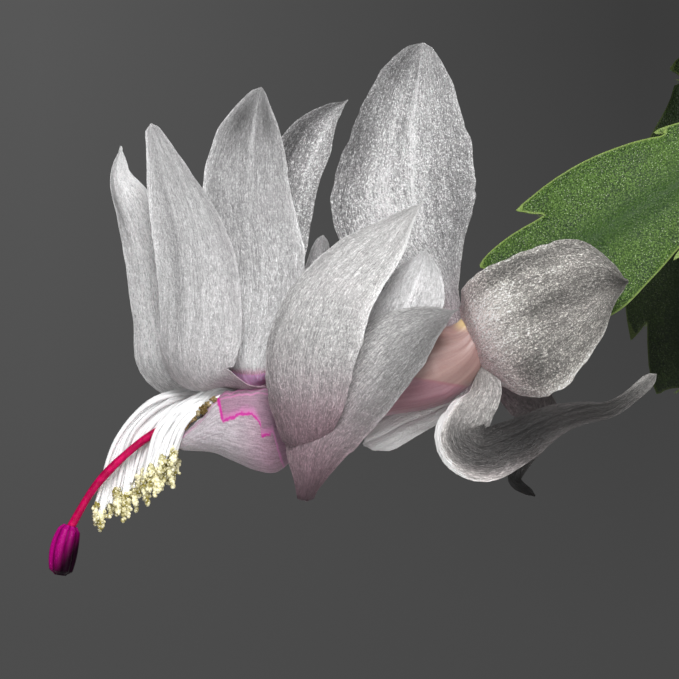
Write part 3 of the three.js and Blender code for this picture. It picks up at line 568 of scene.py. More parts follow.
# Pot
POT_PROFILE = [
    (0, 0), (41.8, 0), (42.9, 0.25), (43.7, 0.9), (44.1, 1.9), (50.2, 44), (57, 87.6), (57.6, 88.1), (61.2, 88.4),
    (62.2, 88.9), (62.8, 90), (63.2, 92), (64.6, 104), (65, 109), (64.7, 110.6), (63.9, 111.7), (62.8, 112),
    (60.6, 112), (59.4, 111.6), (58.7, 110.6), (58.2, 108), (55.6, 96), (52.4, 87), (51.9, 85), (45.4, 44),
    (40.2, 8), (39.4, 6.4), (38, 6), (0, 6),
]


def lathe(profile, sides, longest, shaped):
    """Rings of points round the Z axis along a profile, with steps no longer than asked."""
    rings = []
    for (r0, z0), (r1, z1) in zip(profile, profile[1:]):
        count = max(1, math.ceil(math.hypot(r1 - r0, z1 - z0) / longest))
        rings += [(r0 + (r1 - r0) * k / count, z0 + (z1 - z0) * k / count) for k in range(count)]
    rings = [ring for ring in [*rings, profile[-1]] if ring[0] > 0.01]
    points = [shaped(np.array(p)) for r, z in rings for p in circle(r, z, sides)]
    return points, grid_faces(len(rings), sides, closed=True) + end_caps(len(rings), sides)


def hand_made(p):
    """Small unevenness of a plain pot, none at its foot."""
    if p[2] < 0.5:
        return p
    amount = 0.28 * wobble(p, 0.03, 4) + 0.12 * wobble(p, 0.11, 9)
    return p + unit([p[0], p[1], 0]) * min(amount, 0.05)


points, faces = lathe(POT_PROFILE, 160, 2.4, hand_made)
kept(mesh_object("clay_pot", points, faces, CLAY, sharp=70), "clay", "pot")

# Soil
SOIL_TOP = 100
SOIL_EDGE = 53.4
CHIPS_ON_SOIL = 2600


def soil_height(x, y):
    """The height of the soil with its broad lumps and its slight crown."""
    lumps = math.sin(x * 0.31 + 1.2) * math.cos(y * 0.27) + 0.6 * math.sin(x * 0.13 - y * 0.19 + 0.7)
    crown = 1.5 * (1 - (x * x + y * y) / (SOIL_EDGE * SOIL_EDGE))
    return SOIL_TOP + 1.3 * lumps + crown


def soil_crumbs(x, y):
    """The same height with fine crumbs."""
    p = (x, y, 0)
    return soil_height(x, y) + 0.55 * wobble(p, 0.5, 3) + 0.35 * wobble(p, 1.3, 8) - 0.2


def soil_piece():
    sides, crown_rings = 220, 74
    points = [(0, 0, soil_crumbs(0, 0))]
    for ring in range(1, crown_rings + 1):
        flat = circle(SOIL_EDGE * ring / crown_rings, 0, sides, 0.5 * (ring % 2))
        points += [(x, y, soil_crumbs(x, y)) for x, y, _ in flat]
    below = [(SOIL_EDGE - 0.4, 95), (50.8, 86), (38.2, 6.6)]
    for radius, z in below:
        points += circle(radius, z, sides)
    rings = crown_rings + len(below)
    faces = [(0, 1 + k, 1 + (k + 1) % sides) for k in range(sides)]
    faces += grid_faces(rings, sides, 1, turned=True, closed=True)
    faces.append(tuple(range(1 + (rings - 1) * sides, 1 + rings * sides))[::-1])
    kept(mesh_object("potting_soil", points, faces, SOIL, sharp=80), "soil", "soil")


soil_piece()


GOLDEN = (1 + math.sqrt(5)) / 2
LUMP_CORNERS = [
    (-1, GOLDEN, 0), (1, GOLDEN, 0), (-1, -GOLDEN, 0), (1, -GOLDEN, 0), (0, -1, GOLDEN), (0, 1, GOLDEN),
    (0, -1, -GOLDEN), (0, 1, -GOLDEN), (GOLDEN, 0, -1), (GOLDEN, 0, 1), (-GOLDEN, 0, -1), (-GOLDEN, 0, 1),
]
LUMP_FACES = [
    (0, 11, 5), (0, 5, 1), (0, 1, 7), (0, 7, 10), (0, 10, 11), (1, 5, 9), (5, 11, 4), (11, 10, 2), (10, 7, 6),
    (7, 1, 8), (3, 9, 4), (3, 4, 2), (3, 2, 6), (3, 6, 8), (3, 8, 9), (4, 9, 5), (2, 4, 11), (6, 2, 10), (8, 6, 7),
    (9, 8, 1),
]


def spun(x, y, turn):
    """A point turned round the origin."""
    return x * math.cos(turn) - y * math.sin(turn), x * math.sin(turn) + y * math.cos(turn)


def chip_shape(rng, size, flat):
    """The points of a small irregular lump: an icosahedron with its corners moved."""
    turn = rng.uniform(0, 2 * math.pi)
    tilt = rng.uniform(-0.4, 0.4)
    stretch = rng.uniform(0.7, 1.5)
    points = []
    for corner in LUMP_CORNERS:
        p = np.array(corner) / 1.9 * size * (1 + rng.uniform(-0.28, 0.28))
        x, z = spun(p[0] * stretch, p[2] * flat, tilt)
        points.append((*spun(x, p[1] / stretch, turn), z))
    return points


def chips_piece():
    rng = random.Random(11)
    parts = Parts()
    for _ in range(CHIPS_ON_SOIL):
        r = (SOIL_EDGE - 1.2) * math.sqrt(rng.random())
        x, y = spun(r, 0, rng.uniform(0, 2 * math.pi))
        size = rng.uniform(0.5, 1.5) if rng.random() < 0.8 else rng.uniform(1.4, 2.6)
        size = min(size, SOIL_EDGE - r)
        lump = chip_shape(rng, size, rng.uniform(0.35, 0.8))
        z = soil_crumbs(x, y) + 0.15 * size
        shade = rng.uniform(0, 1)
        parts.add([(px + x, py + y, pz + z) for px, py, pz in lump], LUMP_FACES, shade=[shade] * len(lump))
    kept(parts.made("bark_and_grit", CHIPS, sharp=30), "soil")


chips_piece()

# Stems. The outline of a segment runs from its foot to its tip as [share of the length, share of the half width].
MARGIN = [
    (-0.045, 0.0), (-0.045, 0.15), (0.0, 0.21), (0.05, 0.31), (0.11, 0.45), (0.18, 0.59), (0.25, 0.7), (0.31, 0.78),
    (0.355, 0.83), (0.39, 0.865), (0.414, 0.88), (0.409, 0.83), (0.392, 0.785), (0.376, 0.755), (0.378, 0.745),
    (0.395, 0.765), (0.43, 0.825), (0.48, 0.9), (0.54, 0.97), (0.6, 1.03), (0.66, 1.06), (0.72, 1.055), (0.775, 1.015),
    (0.812, 0.985), (0.8, 0.9), (0.782, 0.79), (0.764, 0.71), (0.765, 0.675), (0.785, 0.685), (0.83, 0.7),
    (0.88, 0.7), (0.925, 0.685), (0.965, 0.65), (1.0, 0.58), (0.995, 0.53), (0.985, 0.45), (0.98, 0.36),
    (0.977, 0.25), (0.979, 0.12), (0.982, 0.0),
]
# Half thicknesses, and how far a segment rises along its length and curves down to its sides.
MIDRIB_HALF, MARGIN_HALF = 1.3, 0.42
LEAF_RISE, LEAF_CAMBER = 0.04, 0.08
SEGMENT_LENGTH, SEGMENT_WIDTH, FOOT_WIDTH = 43, 20, 15
ROOT_RADIUS, ROOT_DEPTH = 2.55, 13.9
CLOSE_SPACING = 0.75


def skewed(share, out):
    """The lower teeth alternate: one margin's stand a little back and the other's a little forward."""
    return share - 0.095 * out * np.sin(math.pi * np.minimum(share / 0.8, 1))


def rounded(points, each):
    """Points of a smooth line through the margin's points, with its corners kept fairly crisp."""
    curve = Curve([(a, b, 0) for a, b in points], 6)
    count = int(each * len(points))
    return [curve.at(k / count)[:2] for k in range(count + 1)]


def nearest(points, line):
    """Distance from each point to a closed line."""
    p, corners = np.array(points), np.array(line)
    best = np.full(len(p), 1e9)
    for start, end in zip(corners, np.roll(corners, -1, axis=0)):
        run = end - start
        t = np.clip(((p - start) @ run) / max(run @ run, 1e-12), 0, 1)
        best = np.minimum(best, np.linalg.norm(p - start - t[:, None] * run, axis=1))
    return best


def segment_sheet(length, half, spacing, seed):
    """A flat triangle sheet in the segment's outline, as [along, out] in millimetres, and its rim."""
    rng = random.Random(seed)
    shape = rounded(MARGIN, 2.0 if spacing < 1.2 else 1.0)
    shift = [1 + 0.05 * (rng.random() - 0.5) for _ in range(2)]
    right = [(s * length, o * half * shift[0]) for s, o in shape]
    left = [(s * length, -o * half * shift[1]) for s, o in shape]
    rim = {}
    for x, y in right[:-1] + left[::-1][:-1]:
        rim.setdefault((round(x, 3), round(y, 3)), np.array((x, y), float))
    rim = list(rim.values())
    inner = []
    for k, x in enumerate(np.arange(-0.05 * length, 1.04 * length, spacing * 0.87)):
        inner += [(x, y + 0.5 * spacing * (k % 2)) for y in np.arange(-1.1 * half, 1.1 * half, spacing)]
    inner += [(x, 0.0) for x in np.arange(0.0, 0.97 * length, spacing * 0.6)]
    inner = [p for p, d in zip(inner, nearest(inner, rim)) if d > 0.42 * spacing]
    made = delaunay_2d_cdt([Vector(p) for p in [*rim, *inner]], [], [list(range(len(rim)))], 1, 1e-4)
    return np.array([tuple(v) for v in made[0]]), [tuple(f) for f in made[2]], rim


def leaf_axes(start, end, face):
    """The length of a segment and its ways forward, to the side and up from its broad face."""
    length = np.linalg.norm(end - start)
    forward = (end - start) / length
    side = unit(np.cross(forward, face))
    return length, forward, side, unit(np.cross(side, forward))


def segment_piece(parts, start, end, face, width, spacing, seed, old, dark):
    """One flat segment with its midrib, veins and slight camber; old is woody and dark stands in shade."""
    length, forward, side, up = leaf_axes(start, end, face)
    half = width / 2
    flat, faces, rim = segment_sheet(length, half, spacing, seed)
    count = len(flat)
    edge = nearest(flat, rim)
    share, out, off = flat[:, 0] / length, flat[:, 1] / half, np.abs(flat[:, 1])
    ripple = np.array([wobble((a * 0.9, b, seed), 0.16, seed % 7) for a, b in flat])
    lift = LEAF_RISE * length * 4 * share * (1 - share) - LEAF_CAMBER * half * out**2
    lift = lift + 0.35 * ripple * smooth(0.15, 0.8, np.abs(out))
    run_on = length * (0.012 + skewed(share, out) * 0.98)
    centre = start + np.outer(run_on, forward) + np.outer(flat[:, 1], side) + np.outer(lift, up)
    thick = MARGIN_HALF + 0.3 * (1 - np.clip(np.abs(out), 0, 1) ** 1.6) + 0.55 * np.exp(-((off / 1.35) ** 2))
    veins = 0.05 * np.sin((flat[:, 0] - 0.9 * off) * 1.25 + seed) * smooth(1.2, 3.0, off)
    thick = np.minimum((thick + veins) * (0.38 + 0.62 * smooth(0.0, 1.1, edge)), MIDRIB_HALF)
    both = faces + [tuple(count + k for k in f[::-1]) for f in faces]
    sides = dict.fromkeys((a, b) for f in faces for a, b in zip(f, f[1:] + f[:1]))
    both += [(b, a, count + a, count + b) for a, b in sides if (b, a) not in sides]
    leaf = np.stack([edge / 1.2, off / 2.2, np.full(count, old) * (1 - 0.7 * share)], axis=1)
    points = np.concatenate([centre + np.outer(thick, up), centre - np.outer(thick, up)])
    parts.add(points, both, leaf=twice(leaf), shade=[dark] * (2 * count))


def polar(azimuth, elevation):
    """A way in space from its angles in degrees."""
    a, e = math.radians(azimuth), math.radians(elevation)
    return np.array([math.cos(a) * math.cos(e), math.sin(a) * math.cos(e), math.sin(e)])


def turned(v, axis, degrees):
    t = math.radians(degrees)
    return v * math.cos(t) + np.cross(axis, v) * math.sin(t) + axis * axis.dot(v) * (1 - math.cos(t))


def drooping_run(start, azimuth, elevation, droop, count, seed):
    """The segments of a stem that leaves at an elevation and droops more with each: start, end, face, width."""
    segments = []
    here, heading = np.array(start, float), elevation
    for k in range(count):
        turn = azimuth + 14 * (draw(seed + k) - 0.5)
        forward = polar(turn, heading)
        length = SEGMENT_LENGTH * (0.84 + 0.3 * draw(seed + 10 + k))
        width = SEGMENT_WIDTH * (0.74 if k == 0 else 0.9 + 0.18 * draw(seed + 20 + k))
        roll = 50 * (draw(seed + 30 + k) - 0.5)
        there = here + forward * length
        segments.append((here, there, turned(polar(turn, heading + 90), forward, roll), width))
        here = there
        heading -= droop * (0.75 + 0.25 * k)
    return segments


# Each stem: its azimuth and distance from the middle, the elevation it leaves at, its droop, its segments, and the
# segment that a second run leaves from, with the turn of that run.
STEMS = [
    (28, 13, 86, 22, 5, 3, 46),
    (118, 13, 86, 21, 5, 3, -44),
    (205, 14, 86, 24, 4, 2, 42),
    (292, 13, 86, 22, 5, 3, 44),
    (352, 36, 72, 30, 5, 3, 34),
    (38, 37, 70, 31, 4, 0, 0),
    (78, 36, 73, 29, 5, 3, -38),
    (122, 36, 72, 29, 4, 0, 0),
    (228, 37, 70, 30, 4, 0, 0),
    (262, 36, 73, 29, 5, 3, 34),
    (312, 37, 71, 30, 5, 3, 36),
]
BLOOM_STEM = {
    "foot": (-34, -2, SOIL_TOP + 2),
    "joints": [(-40, -6, 146), (-51, -8, 188), (-73, -8, 226), (-105.4, -5, 237.2), (-148.15, -8, 210.75)],
    "faces": [(-0.9, -0.5, 0.2), (-0.8, -0.5, 0.3), (-0.5, -0.75, 0.45), (-0.1, -0.85, 0.5), (-0.05, -0.97, 0.22)],
    "width": 21,
}
NEIGHBOUR = {
    "foot": (-31, 20, SOIL_TOP + 2),
    "joints": [(-37, 23, 146), (-46, 25, 189), (-60, 27, 230), (-86, 28, 264), (-118, 30, 243.5), (-116.5, 31, 196)],
    "faces": [(-0.8, 0.5, 0.1), (-0.9, 0.3, 0.2), (-0.8, -0.3, 0.5), (-0.5, -0.4, 0.7), (-0.3, -0.7, 0.5),
              (-0.3, -0.95, 0)],
    "width": 20,
}


def root_piece(parts, foot):
    """The woody foot of a stem, from below the soil to a little above it."""

    def radius(share, turn):
        return (ROOT_RADIUS - 0.5 * smooth(0.75, 1.0, share)) * (1 + 0.05 * math.sin(3 * turn + 9 * share))

    points, faces = tube([(foot[0], foot[1], SOIL_TOP + z) for z in (-ROOT_DEPTH, -4, 5)], radius, 14, 10)
    parts.add(points, faces, leaf=[(1, 1, 1.0)] * len(points), shade=[0.0] * len(points))


def bristles(parts, start, end, face, width, seed):
    """Short pale hairs in the notches of a segment and at its tip."""
    rng = random.Random(seed)
    length, forward, side, up = leaf_axes(start, end, face)
    for share, out in ((0.378, 0.745), (0.765, 0.68), (0.982, 0.2)):
        for hand in (-1, 1):
            run_on = length * (0.012 + skewed(share, hand * out) * 0.98)
            lift = 4 * LEAF_RISE * length * share * (1 - share) - LEAF_CAMBER / 2 * width * out * out
            base = start + forward * run_on + side * (hand * out * width / 2) + up * lift
            for _ in range(4):
                way = side * hand * rng.uniform(0.3, 1) + forward * rng.uniform(0.2, 0.9)
                tip = base + unit(way + up * rng.uniform(-0.5, 0.5)) * rng.uniform(0.8, 1.7)
                line = [base, (base + tip) / 2 + up * 0.05, tip]
                points, faces = tube(line, lambda s, t: 0.05 * (1 - 0.8 * s), 4, 3)
                parts.add(points, faces, leaf=[(0.0, 1, 0.3)] * len(points), shade=[0.3] * len(points))


def stem_piece(name, foot, runs, spacing=1.9, hero=None, dark_from=99):
    """A stem of one or two runs of segments; hero is the one seen close by, and dark_from starts the shaded ones."""
    parts = Parts()
    root_piece(parts, foot)
    for number, (start, end, face, width) in enumerate([segment for run in runs for segment in run], 1):
        start, end = np.array(start, float), np.array(end, float)
        seed = sum(ord(c) for c in name) * 31 + number
        fine = CLOSE_SPACING if hero == number else spacing
        old, dark = 0.75 if number == 1 else 0.0, 0.85 if number >= dark_from else 0.0
        segment_piece(parts, start, end, face, width, fine, seed, old, dark)
        bristles(parts, start, end, face, width, seed)
    kept(parts.made(name, LEAF, sharp=60), "stem_green", name.replace("leafy_", ""))


for index, (azimuth, distance, elevation, droop, count, fork, turn) in enumerate(STEMS):
    seed = 100 * (index + 1)
    foot = polar(azimuth, 0) * distance
    foot[2] = SOIL_TOP + 2
    runs = [drooping_run(foot, azimuth, elevation, droop, count, seed)]
    if fork:
        heading = elevation - droop * fork * 0.8 + 8
        begin = runs[0][fork][0] + polar(azimuth + turn, heading) * -3
        runs.append(drooping_run(begin, azimuth + turn, heading, droop, count - fork, seed + 50))
    stem_piece(f"leafy_stem_{index + 1:02d}", foot, runs)

for name, stem, hero, dark_from in (
    ("leafy_stem_with_bloom", BLOOM_STEM, 5, 99),
    ("leafy_stem_behind_bloom", NEIGHBOUR, None, 5),
):
    ends = [stem["foot"], *stem["joints"]]
    run = []
    for k, (start, end) in enumerate(zip(ends, ends[1:])):
        run.append((start, end, stem["faces"][k], stem["width"] if k else FOOT_WIDTH))
    stem_piece(name, stem["foot"], [run], 1.5, hero, dark_from)

# Bloom. Its own frame has x to the right, y away from the side that is seen and z up.
TUBE_LINE = [
    (24, 0, 5.9), (21.8, 0, 3.4), (18.6, 0, -1.4), (12.6, 0, -4.2), (5, 0, -5.8), (-5, 0, -9.4), (-12.4, 0, -12.6),
]
TUBE_RADII = [2, 3.8, 6.2, 6, 5.8, 6.2, 6.7]

# Each tepal: its middle line, the way its skin faces and its widths to the left and right, each from foot to tip; the
# cup across it; the share where a blunt tip starts; the crinkle of its skin, the depth of its keel fold and how warm
# its white is; its tone, which is painted shade and painted light, and its blush from foot to tip; and soft patches of
# painted shade and painted highlight, each with its place along and across, its reach both ways and its tone.
TEPALS = {
    "inner_far_left": dict(
        spine=[(-8.6, 3, -5.8), (-13, 3.4, -6.9), (-18, 4.4, -6.5), (-22.6, 5.8, -6.6), (-25.4, 6.4, -4.2),
               (-26.9, 6.4, 2.4), (-28.8, 6.2, 11.7), (-31.3, 6, 19), (-33.5, 5.8, 24.6), (-33, 5.6, 29.2)],
        faces=[(0, 0.5, 1), (0.2, 0.4, 1), (0.5, 1, 0.5), (0.4, 1, 0), (0.3, 1, 0), (0.2, 1, 0)],
        left=[2.2, 3.2, 4, 5, 3.7, 3.6, 0.8],
        right=[2.2, 4.2, 6.2, 4.8, 3.9, 2.2, 0.3],
        cup=-0.1, crinkle=0.28,
        tone=[1, 1.5, 1.75, 1.75, 1.8],
        blush=[0.8, 0.25, 0, 0, 0],
        patches=[(0.85, 0.7, 0.14, 0.4, 0.5), (0.6, -0.9, 0.4, 0.3, 1.2)],
    ),
    "inner_near_left": dict(
        spine=[(-8.6, -3, -5.8), (-13, -3.3, -6.9), (-17, -4.2, -6.3), (-20, -5.6, -6), (-21.3, -6.8, -3.2),
               (-21, -7.2, 4.4), (-21.9, -6.8, 14.1), (-24.7, -6, 23.8), (-28.1, -4.8, 32.2)],
        faces=[(0, 0.5, -1), (-0.2, -0.2, -1), (-0.5, -1, 0), (-0.3, -1, 0), (0, -1, 0), (0.1, -1, 0),
               (0.2, -1, 0.1)],
        left=[2.2, 4.6, 6.4, 6.2, 5.6, 4, 1.2],
        right=[2.2, 4.6, 6.8, 6.6, 5.2, 2.8, 0.9],
        cup=0.1, blunt=0.97, crinkle=0.22,
        tone=[0.85, 1.12, 1.04, 0.94, 1],
        blush=[0.8, 0.25, 0.05, 0, 0],
        patches=[(0.7, -0.95, 0.5, 0.2, 1.4), (0.62, -0.42, 0.3, 0.12, 0.72), (0.62, 0.9, 0.25, 0.2, 0.78)],
    ),
    "inner_top_near": dict(
        spine=[(-5, -1.6, -4.6), (-9, -2.2, -6), (-12.4, -3.6, -6.1), (-13.4, -4.6, -3.4), (-12.9, -4.5, 0.9),
               (-12.3, -4.2, 9.6), (-13.4, -3.6, 20.1), (-13.4, -2.6, 28.3), (-12.5, -1.8, 34.3),
               (-11.7, -1.2, 37.9)],
        faces=[(-0.2, 0.2, -1), (-0.9, -0.9, 0), (-0.3, -1, 0), (-0.2, -1, 0), (-0.1, -1, 0), (0, -1, 0.1),
               (0, -1, 0.2)],
        left=[2, 4.4, 5.6, 7.3, 7.3, 5.6, 2],
        right=[2, 3, 6, 7.3, 6.2, 5, 1.4],
        cup=0.1, blunt=0.9, crinkle=0.3, fold=0.6,
        tone=[1, 1.3, 0.96, 0.76, 0.75],
        blush=[1.3] * 8 + [0.1] + [0] * 32,
        patches=[(0.9, -0.45, 0.08, 0.45, 0.32), (0.91, 0.5, 0.07, 0.36, 0.45), (0.9, 0.04, 0.12, 0.06, 2.4),
                 (0.72, -0.97, 0.3, 0.14, 1.5), (0.7, 0.97, 0.3, 0.08, 1.3), (0.6, -0.2, 0.2, 0.08, 0.8),
                 (0.5, -0.75, 0.16, 0.2, 0.72), (0.17, 0, 0.05, 1.5, 1.9)],
    ),
    "inner_top_far": dict(
        spine=[(-5, 3.2, -4.6), (-8.6, 4, -5.4), (-10.4, 5.6, -2.4), (-10.3, 6.8, 1.6), (-9.3, 8, 9.8), (-8, 9, 18.9),
               (-6, 9.8, 27), (-2.7, 10.4, 33), (1.3, 11, 36.4)],
        faces=[(0, 0.5, 1), (0.9, 0.9, 0), (0.5, 1, 0), (0.4, 1, 0), (0.3, 1, -0.2), (0.1, 1, -0.4), (-0.1, 1, -0.5)],
        left=[1.8, 2.6, 3.4, 3.8, 3.8, 3.6, 0.4],
        right=[1.8, 2.6, 4, 4.7, 4.9, 3.9, 0.4],
        cup=-0.1, crinkle=0.7, fold=0.2,
        tone=[0.6, 0.68, 0.72, 0.74, 0.8],
        blush=[0.5, 0.2, 0, 0, 0],
        patches=[(0.7, 0.55, 0.45, 0.45, 0.3), (0.8, -0.55, 0.3, 0.4, 1.8)],
    ),
    "side_near": dict(
        spine=[(-4.6, -5.6, -8.8), (-4.8, -5.2, -11.4), (-5, -6.4, -14), (-5.2, -9.4, -15.6), (-5.2, -12.4, -13.4),
               (-4.9, -14.2, -8.9), (-4.5, -15.2, -3), (-3.3, -15.6, 2.1), (-1.3, -15.4, 6.7), (1.8, -14.6, 10.7),
               (6, -13.4, 14.5), (9.2, -12.4, 17.6), (12.4, -11.6, 20.4)],
        faces=[(0, 1, 0), (0, -0.1, -1), (-0.2, -1, 0), (-0.3, -1, 0.1), (-0.3, -1, 0.1), (-0.3, -1, 0.2),
               (-0.2, -1, 0.3), (-0.1, -1, 0.4)],
        left=[3, 3.1, 6.1, 6.9, 5.4, 3.3, 0.3],
        right=[3, 2.9, 5.8, 7.2, 6.3, 4.2, 0.3],
        cup=0.1, crinkle=0.32, warm=0.1,
        tone=[0.75, 0.74, 0.94, 1.15, 1.2],
        blush=[0.7, 0.7, 0.66, 0.34, 0.1, 0.02, 0, 0, 0],
        patches=[(0.28, -0.7, 0.12, 0.6, 0.8), (0.8, 0.94, 0.25, 0.12, 1.5), (0.5, -0.9, 0.3, 0.2, 0.8)],
    ),
    "low_near": dict(
        spine=[(-1.8, -5.2, -9.6), (-2.4, -4.2, -12.2), (-3.6, -4.6, -16), (-4.8, -5.8, -21), (-4.9, -8, -24),
               (-4.2, -10.2, -21), (-2, -11.6, -14.4), (1.1, -11.8, -9.5), (4.5, -11.6, -5.1), (8.1, -11.2, -1.3),
               (12.5, -10.4, 2.1), (17.5, -9.6, 4.4)],
        faces=[(0, 1, -0.4), (0.1, 1, 0), (0, 0, -1), (-0.4, -1, 0), (-0.2, -1, 0), (-0.1, -1, 0.1), (0, -1, 0.2),
               (0.1, -1, 0.4)],
        left=[2.4, 2.3, 2.2, 1.2, 2, 5.2, 7.4, 7, 6.4, 5.9, 5, 2.8, 0.3],
        right=[2.4, 2.3, 2.2, 1.2, 1.2, 2.8, 4.6, 5.2, 5.6, 5.3, 4.6, 2.6, 0.3],
        cup=0.1, crinkle=0.34, warm=0.1,
        tone=[0.55, 0.34, 0.62, 0.72, 0.68],
        blush=[0.8, 0.95, 0.5, 0.1, 0],
        patches=[(0.27, 0, 0.1, 1.4, 0.7), (0.66, -0.5, 0.22, 0.5, 1.25), (0.72, 0.7, 0.25, 0.5, 0.62),
                 (0.9, 0.4, 0.1, 0.7, 0.75)],
    ),
    "mid_near": dict(
        spine=[(6.4, -5.2, -7), (7.2, -6.2, -3.2), (8.2, -7.4, 0.6), (10.2, -8, 6), (11.8, -7.6, 10.2),
               (12.9, -7, 13.6)],
        faces=[(-0.1, -1, 0.1), (-0.2, -1, 0.2), (0, -1, 0.2)],
        left=[3, 3.8, 4.6, 4.8, 4, 2.8, 0.3],
        right=[3, 4.2, 5.2, 5.7, 5.2, 3.8, 0.3],
        cup=0.12, crinkle=0.2, fold=0.5,
        tone=[0.85, 1.15, 1.2, 1.2, 1.15],
        blush=[0.5, 0.3, 0.1, 0, 0],
        patches=[(0.6, 0.08, 0.5, 0.07, 1.5), (0.4, -0.85, 0.4, 0.4, 1.6)],
    ),
    "top": dict(
        spine=[(18, -1.2, -0.6), (17.2, -0.8, 4), (15.6, 0, 8.6), (11.8, 0.8, 15.5), (10, 1, 22.5), (10.1, 0.8, 29.2),
               (11.2, 1.2, 37.2), (12.5, 2.6, 44.8)],
        faces=[(-0.6, -0.8, 0.1), (-0.15, -1, 0.1), (-0.1, -1, 0.3)],
        left=[2, 3, 10, 11.6, 8.9, 6.6, 3.8],
        right=[1.6, 1.8, 7.9, 10.4, 9.9, 6.6, 3.2],
        cup=0.06, blunt=0.87, crinkle=0.7, fold=0.5,
        tone=[1.1, 1.34, 1.4, 1.3, 1.12],
        blush=[0.55, 0.12, 0, 0, 0],
        patches=[(0.66, -0.95, 0.26, 0.5, 0.3), (0.93, -0.5, 0.1, 0.45, 0.45), (0.36, 0.8, 0.16, 0.5, 0.62),
                 (0.6, -0.27, 0.3, 0.04, 1.4), (0.7, 0.08, 0.34, 0.05, 1.6), (0.6, 0.75, 0.3, 0.25, 0.6),
                 (0.45, -0.35, 0.16, 0.3, 1.35), (0.7, -0.12, 0.24, 0.05, 0.7), (0.35, -0.7, 0.14, 0.4, 1.3),
                 (0.5, 0.4, 0.2, 0.04, 0.65)],
    ),
    "outer_near": dict(
        spine=[(21.2, -2.4, -2.4), (22.4, -5.4, -1.4), (25.6, -9, 0.9), (30, -10.2, 3.2), (34.9, -10, 5.4),
               (39.1, -9.2, 7.5), (42.9, -8.2, 8.6)],
        faces=[(-0.4, -0.9, -0.1), (-0.05, -1, 0.05), (0.1, -1, 0.15)],
        left=[8, 9.8, 10.4, 10.2, 9.8, 8.5, 1.2],
        right=[5.2, 9.2, 10.8, 10, 7.6, 3.9, 0.6],
        cup=0.08, crinkle=0.74, warm=0.5,
        tone=[2.6, 1.8, 0.8, 0.6, 0.6],
        blush=[0.6, 0.28, 0, 0, 0],
        patches=[(0.4, -0.88, 0.28, 0.24, 0.34), (0.7, -0.6, 0.3, 0.18, 1.6), (0.55, -0.14, 0.34, 0.13, 0.5),
                 (0.32, 0.6, 0.17, 0.46, 0.28), (0.7, 0.3, 0.2, 0.22, 1.3), (0.98, 0.1, 0.1, 0.7, 0.22),
                 (0.6, 0.98, 0.25, 0.06, 2.8), (0.5, -0.97, 0.3, 0.05, 2.2), (0.24, -0.3, 0.14, 0.3, 1.3)],
    ),
    "outer_low_near": dict(
        spine=[(21.6, -1.4, -3.4), (21.4, -4.4, -7.6), (19.4, -7.2, -10.8), (18.2, -9.4, -14.4), (20.9, -10.8, -16.4),
               (25.5, -10.6, -14.9), (30.9, -10.2, -12.4), (35.6, -9.6, -10.8), (39.8, -9.2, -10), (43.7, -8.8, -7.8),
               (47, -8.4, -5.1)],
        faces=[(-0.7, -0.7, 0.1), (-0.5, -1, 0), (-0.2, -1, 0.1), (0.1, -0.8, 0.5), (0.2, -0.7, 0.8)],
        left=[2.2, 3.5, 3.7, 3, 2.4, 1, 1.3],
        right=[2.2, 4, 4.8, 4, 2.1, 1.7, 1],
        cup=0.14, blunt=0.94, crinkle=0.4, warm=0.3,
        tone=[0.6, 0.7, 0.18, 0.03, 0.06, 0.1, 0.4],
        blush=[0.2, 0.14, 0.28, 0.24, 0],
        patches=[(0.32, 1.05, 0.2, 0.33, 20), (0.42, -1, 0.2, 0.25, 0.4), (0.95, -0.7, 0.08, 0.5, 2),
                 (0.22, 0, 0.08, 1.4, 1.2), (0.7, -0.8, 0.15, 0.2, 2.2)],
    ),
    "outer_low_far": dict(
        spine=[(19.3, 1.6, -5.4), (17, 4.4, -9.4), (13.7, 5.8, -11.3), (10.1, 6.4, -12.8), (6.7, 6.4, -14.6),
               (3.6, 6, -15.9)],
        faces=[(-0.3, -0.8, 0.6), (-0.2, -1, 0.4), (-0.1, -1, 0.3)],
        left=[1.9, 1.9, 1.6, 1.9, 2.4, 2.4, 0.9],
        right=[2.2, 2.8, 3.1, 3.5, 3.8, 2.8, 0.9],
        cup=0.14, crinkle=0.5,
        tone=[1.1, 3.2, 4.8, 5.4, 5.4],
        blush=[0.5, 0.2, 0.05, 0, 0],
    ),
    "outer_under": dict(
        spine=[(21.6, 0.6, -2), (26.3, 3, -6.4), (29.6, 4, -9.7), (29.9, 4, -13.9), (27.5, 3.2, -18.1),
               (26.3, 2.4, -21.1), (29.4, 2, -23.5)],
        faces=[(0.3, -1, 0.3), (0.2, -1, 0.1), (0.2, -1, 0)],
        left=[1.8, 2.4, 2.6, 3.1, 1.8, 1.2, 0.5],
        right=[2.3, 3.1, 4, 3.4, 1.6, 1, 0.5],
        cup=0.14, crinkle=0.3, warm=0.2,
        tone=[0.5, 0.42, 0.3, 0.06, 0.03],
        blush=[0.7, 0.5, 0.3, 0.1, 0],
    ),
    "side_far": dict(
        spine=[(-4, 5.3, -10.4), (-7.2, 6, -11.6), (-6.6, 10, -11.6), (-5.4, 13, -6), (-5, 14.6, 1), (-3.6, 14.8, 9),
               (-2.5, 13.8, 15.9)],
        faces=[(0, 1, -0.3), (0.7, 0.5, -0.8), (0.5, 1, 0), (0.4, 1, 0), (0.4, 1, 0), (0.3, 1, 0)],
        left=[2.4, 3.2, 4.2, 4.4, 3.6, 2.4, 1.2],
        right=[2.4, 3.2, 4.2, 4.4, 3.6, 2.4, 1.2],
        cup=-0.12, blunt=0.92, crinkle=0.4,
        tone=[0.8, 0.9, 0.95, 1, 1.1],
        blush=[0.6, 0.3, 0.05, 0, 0],
    ),
    "low_far": dict(
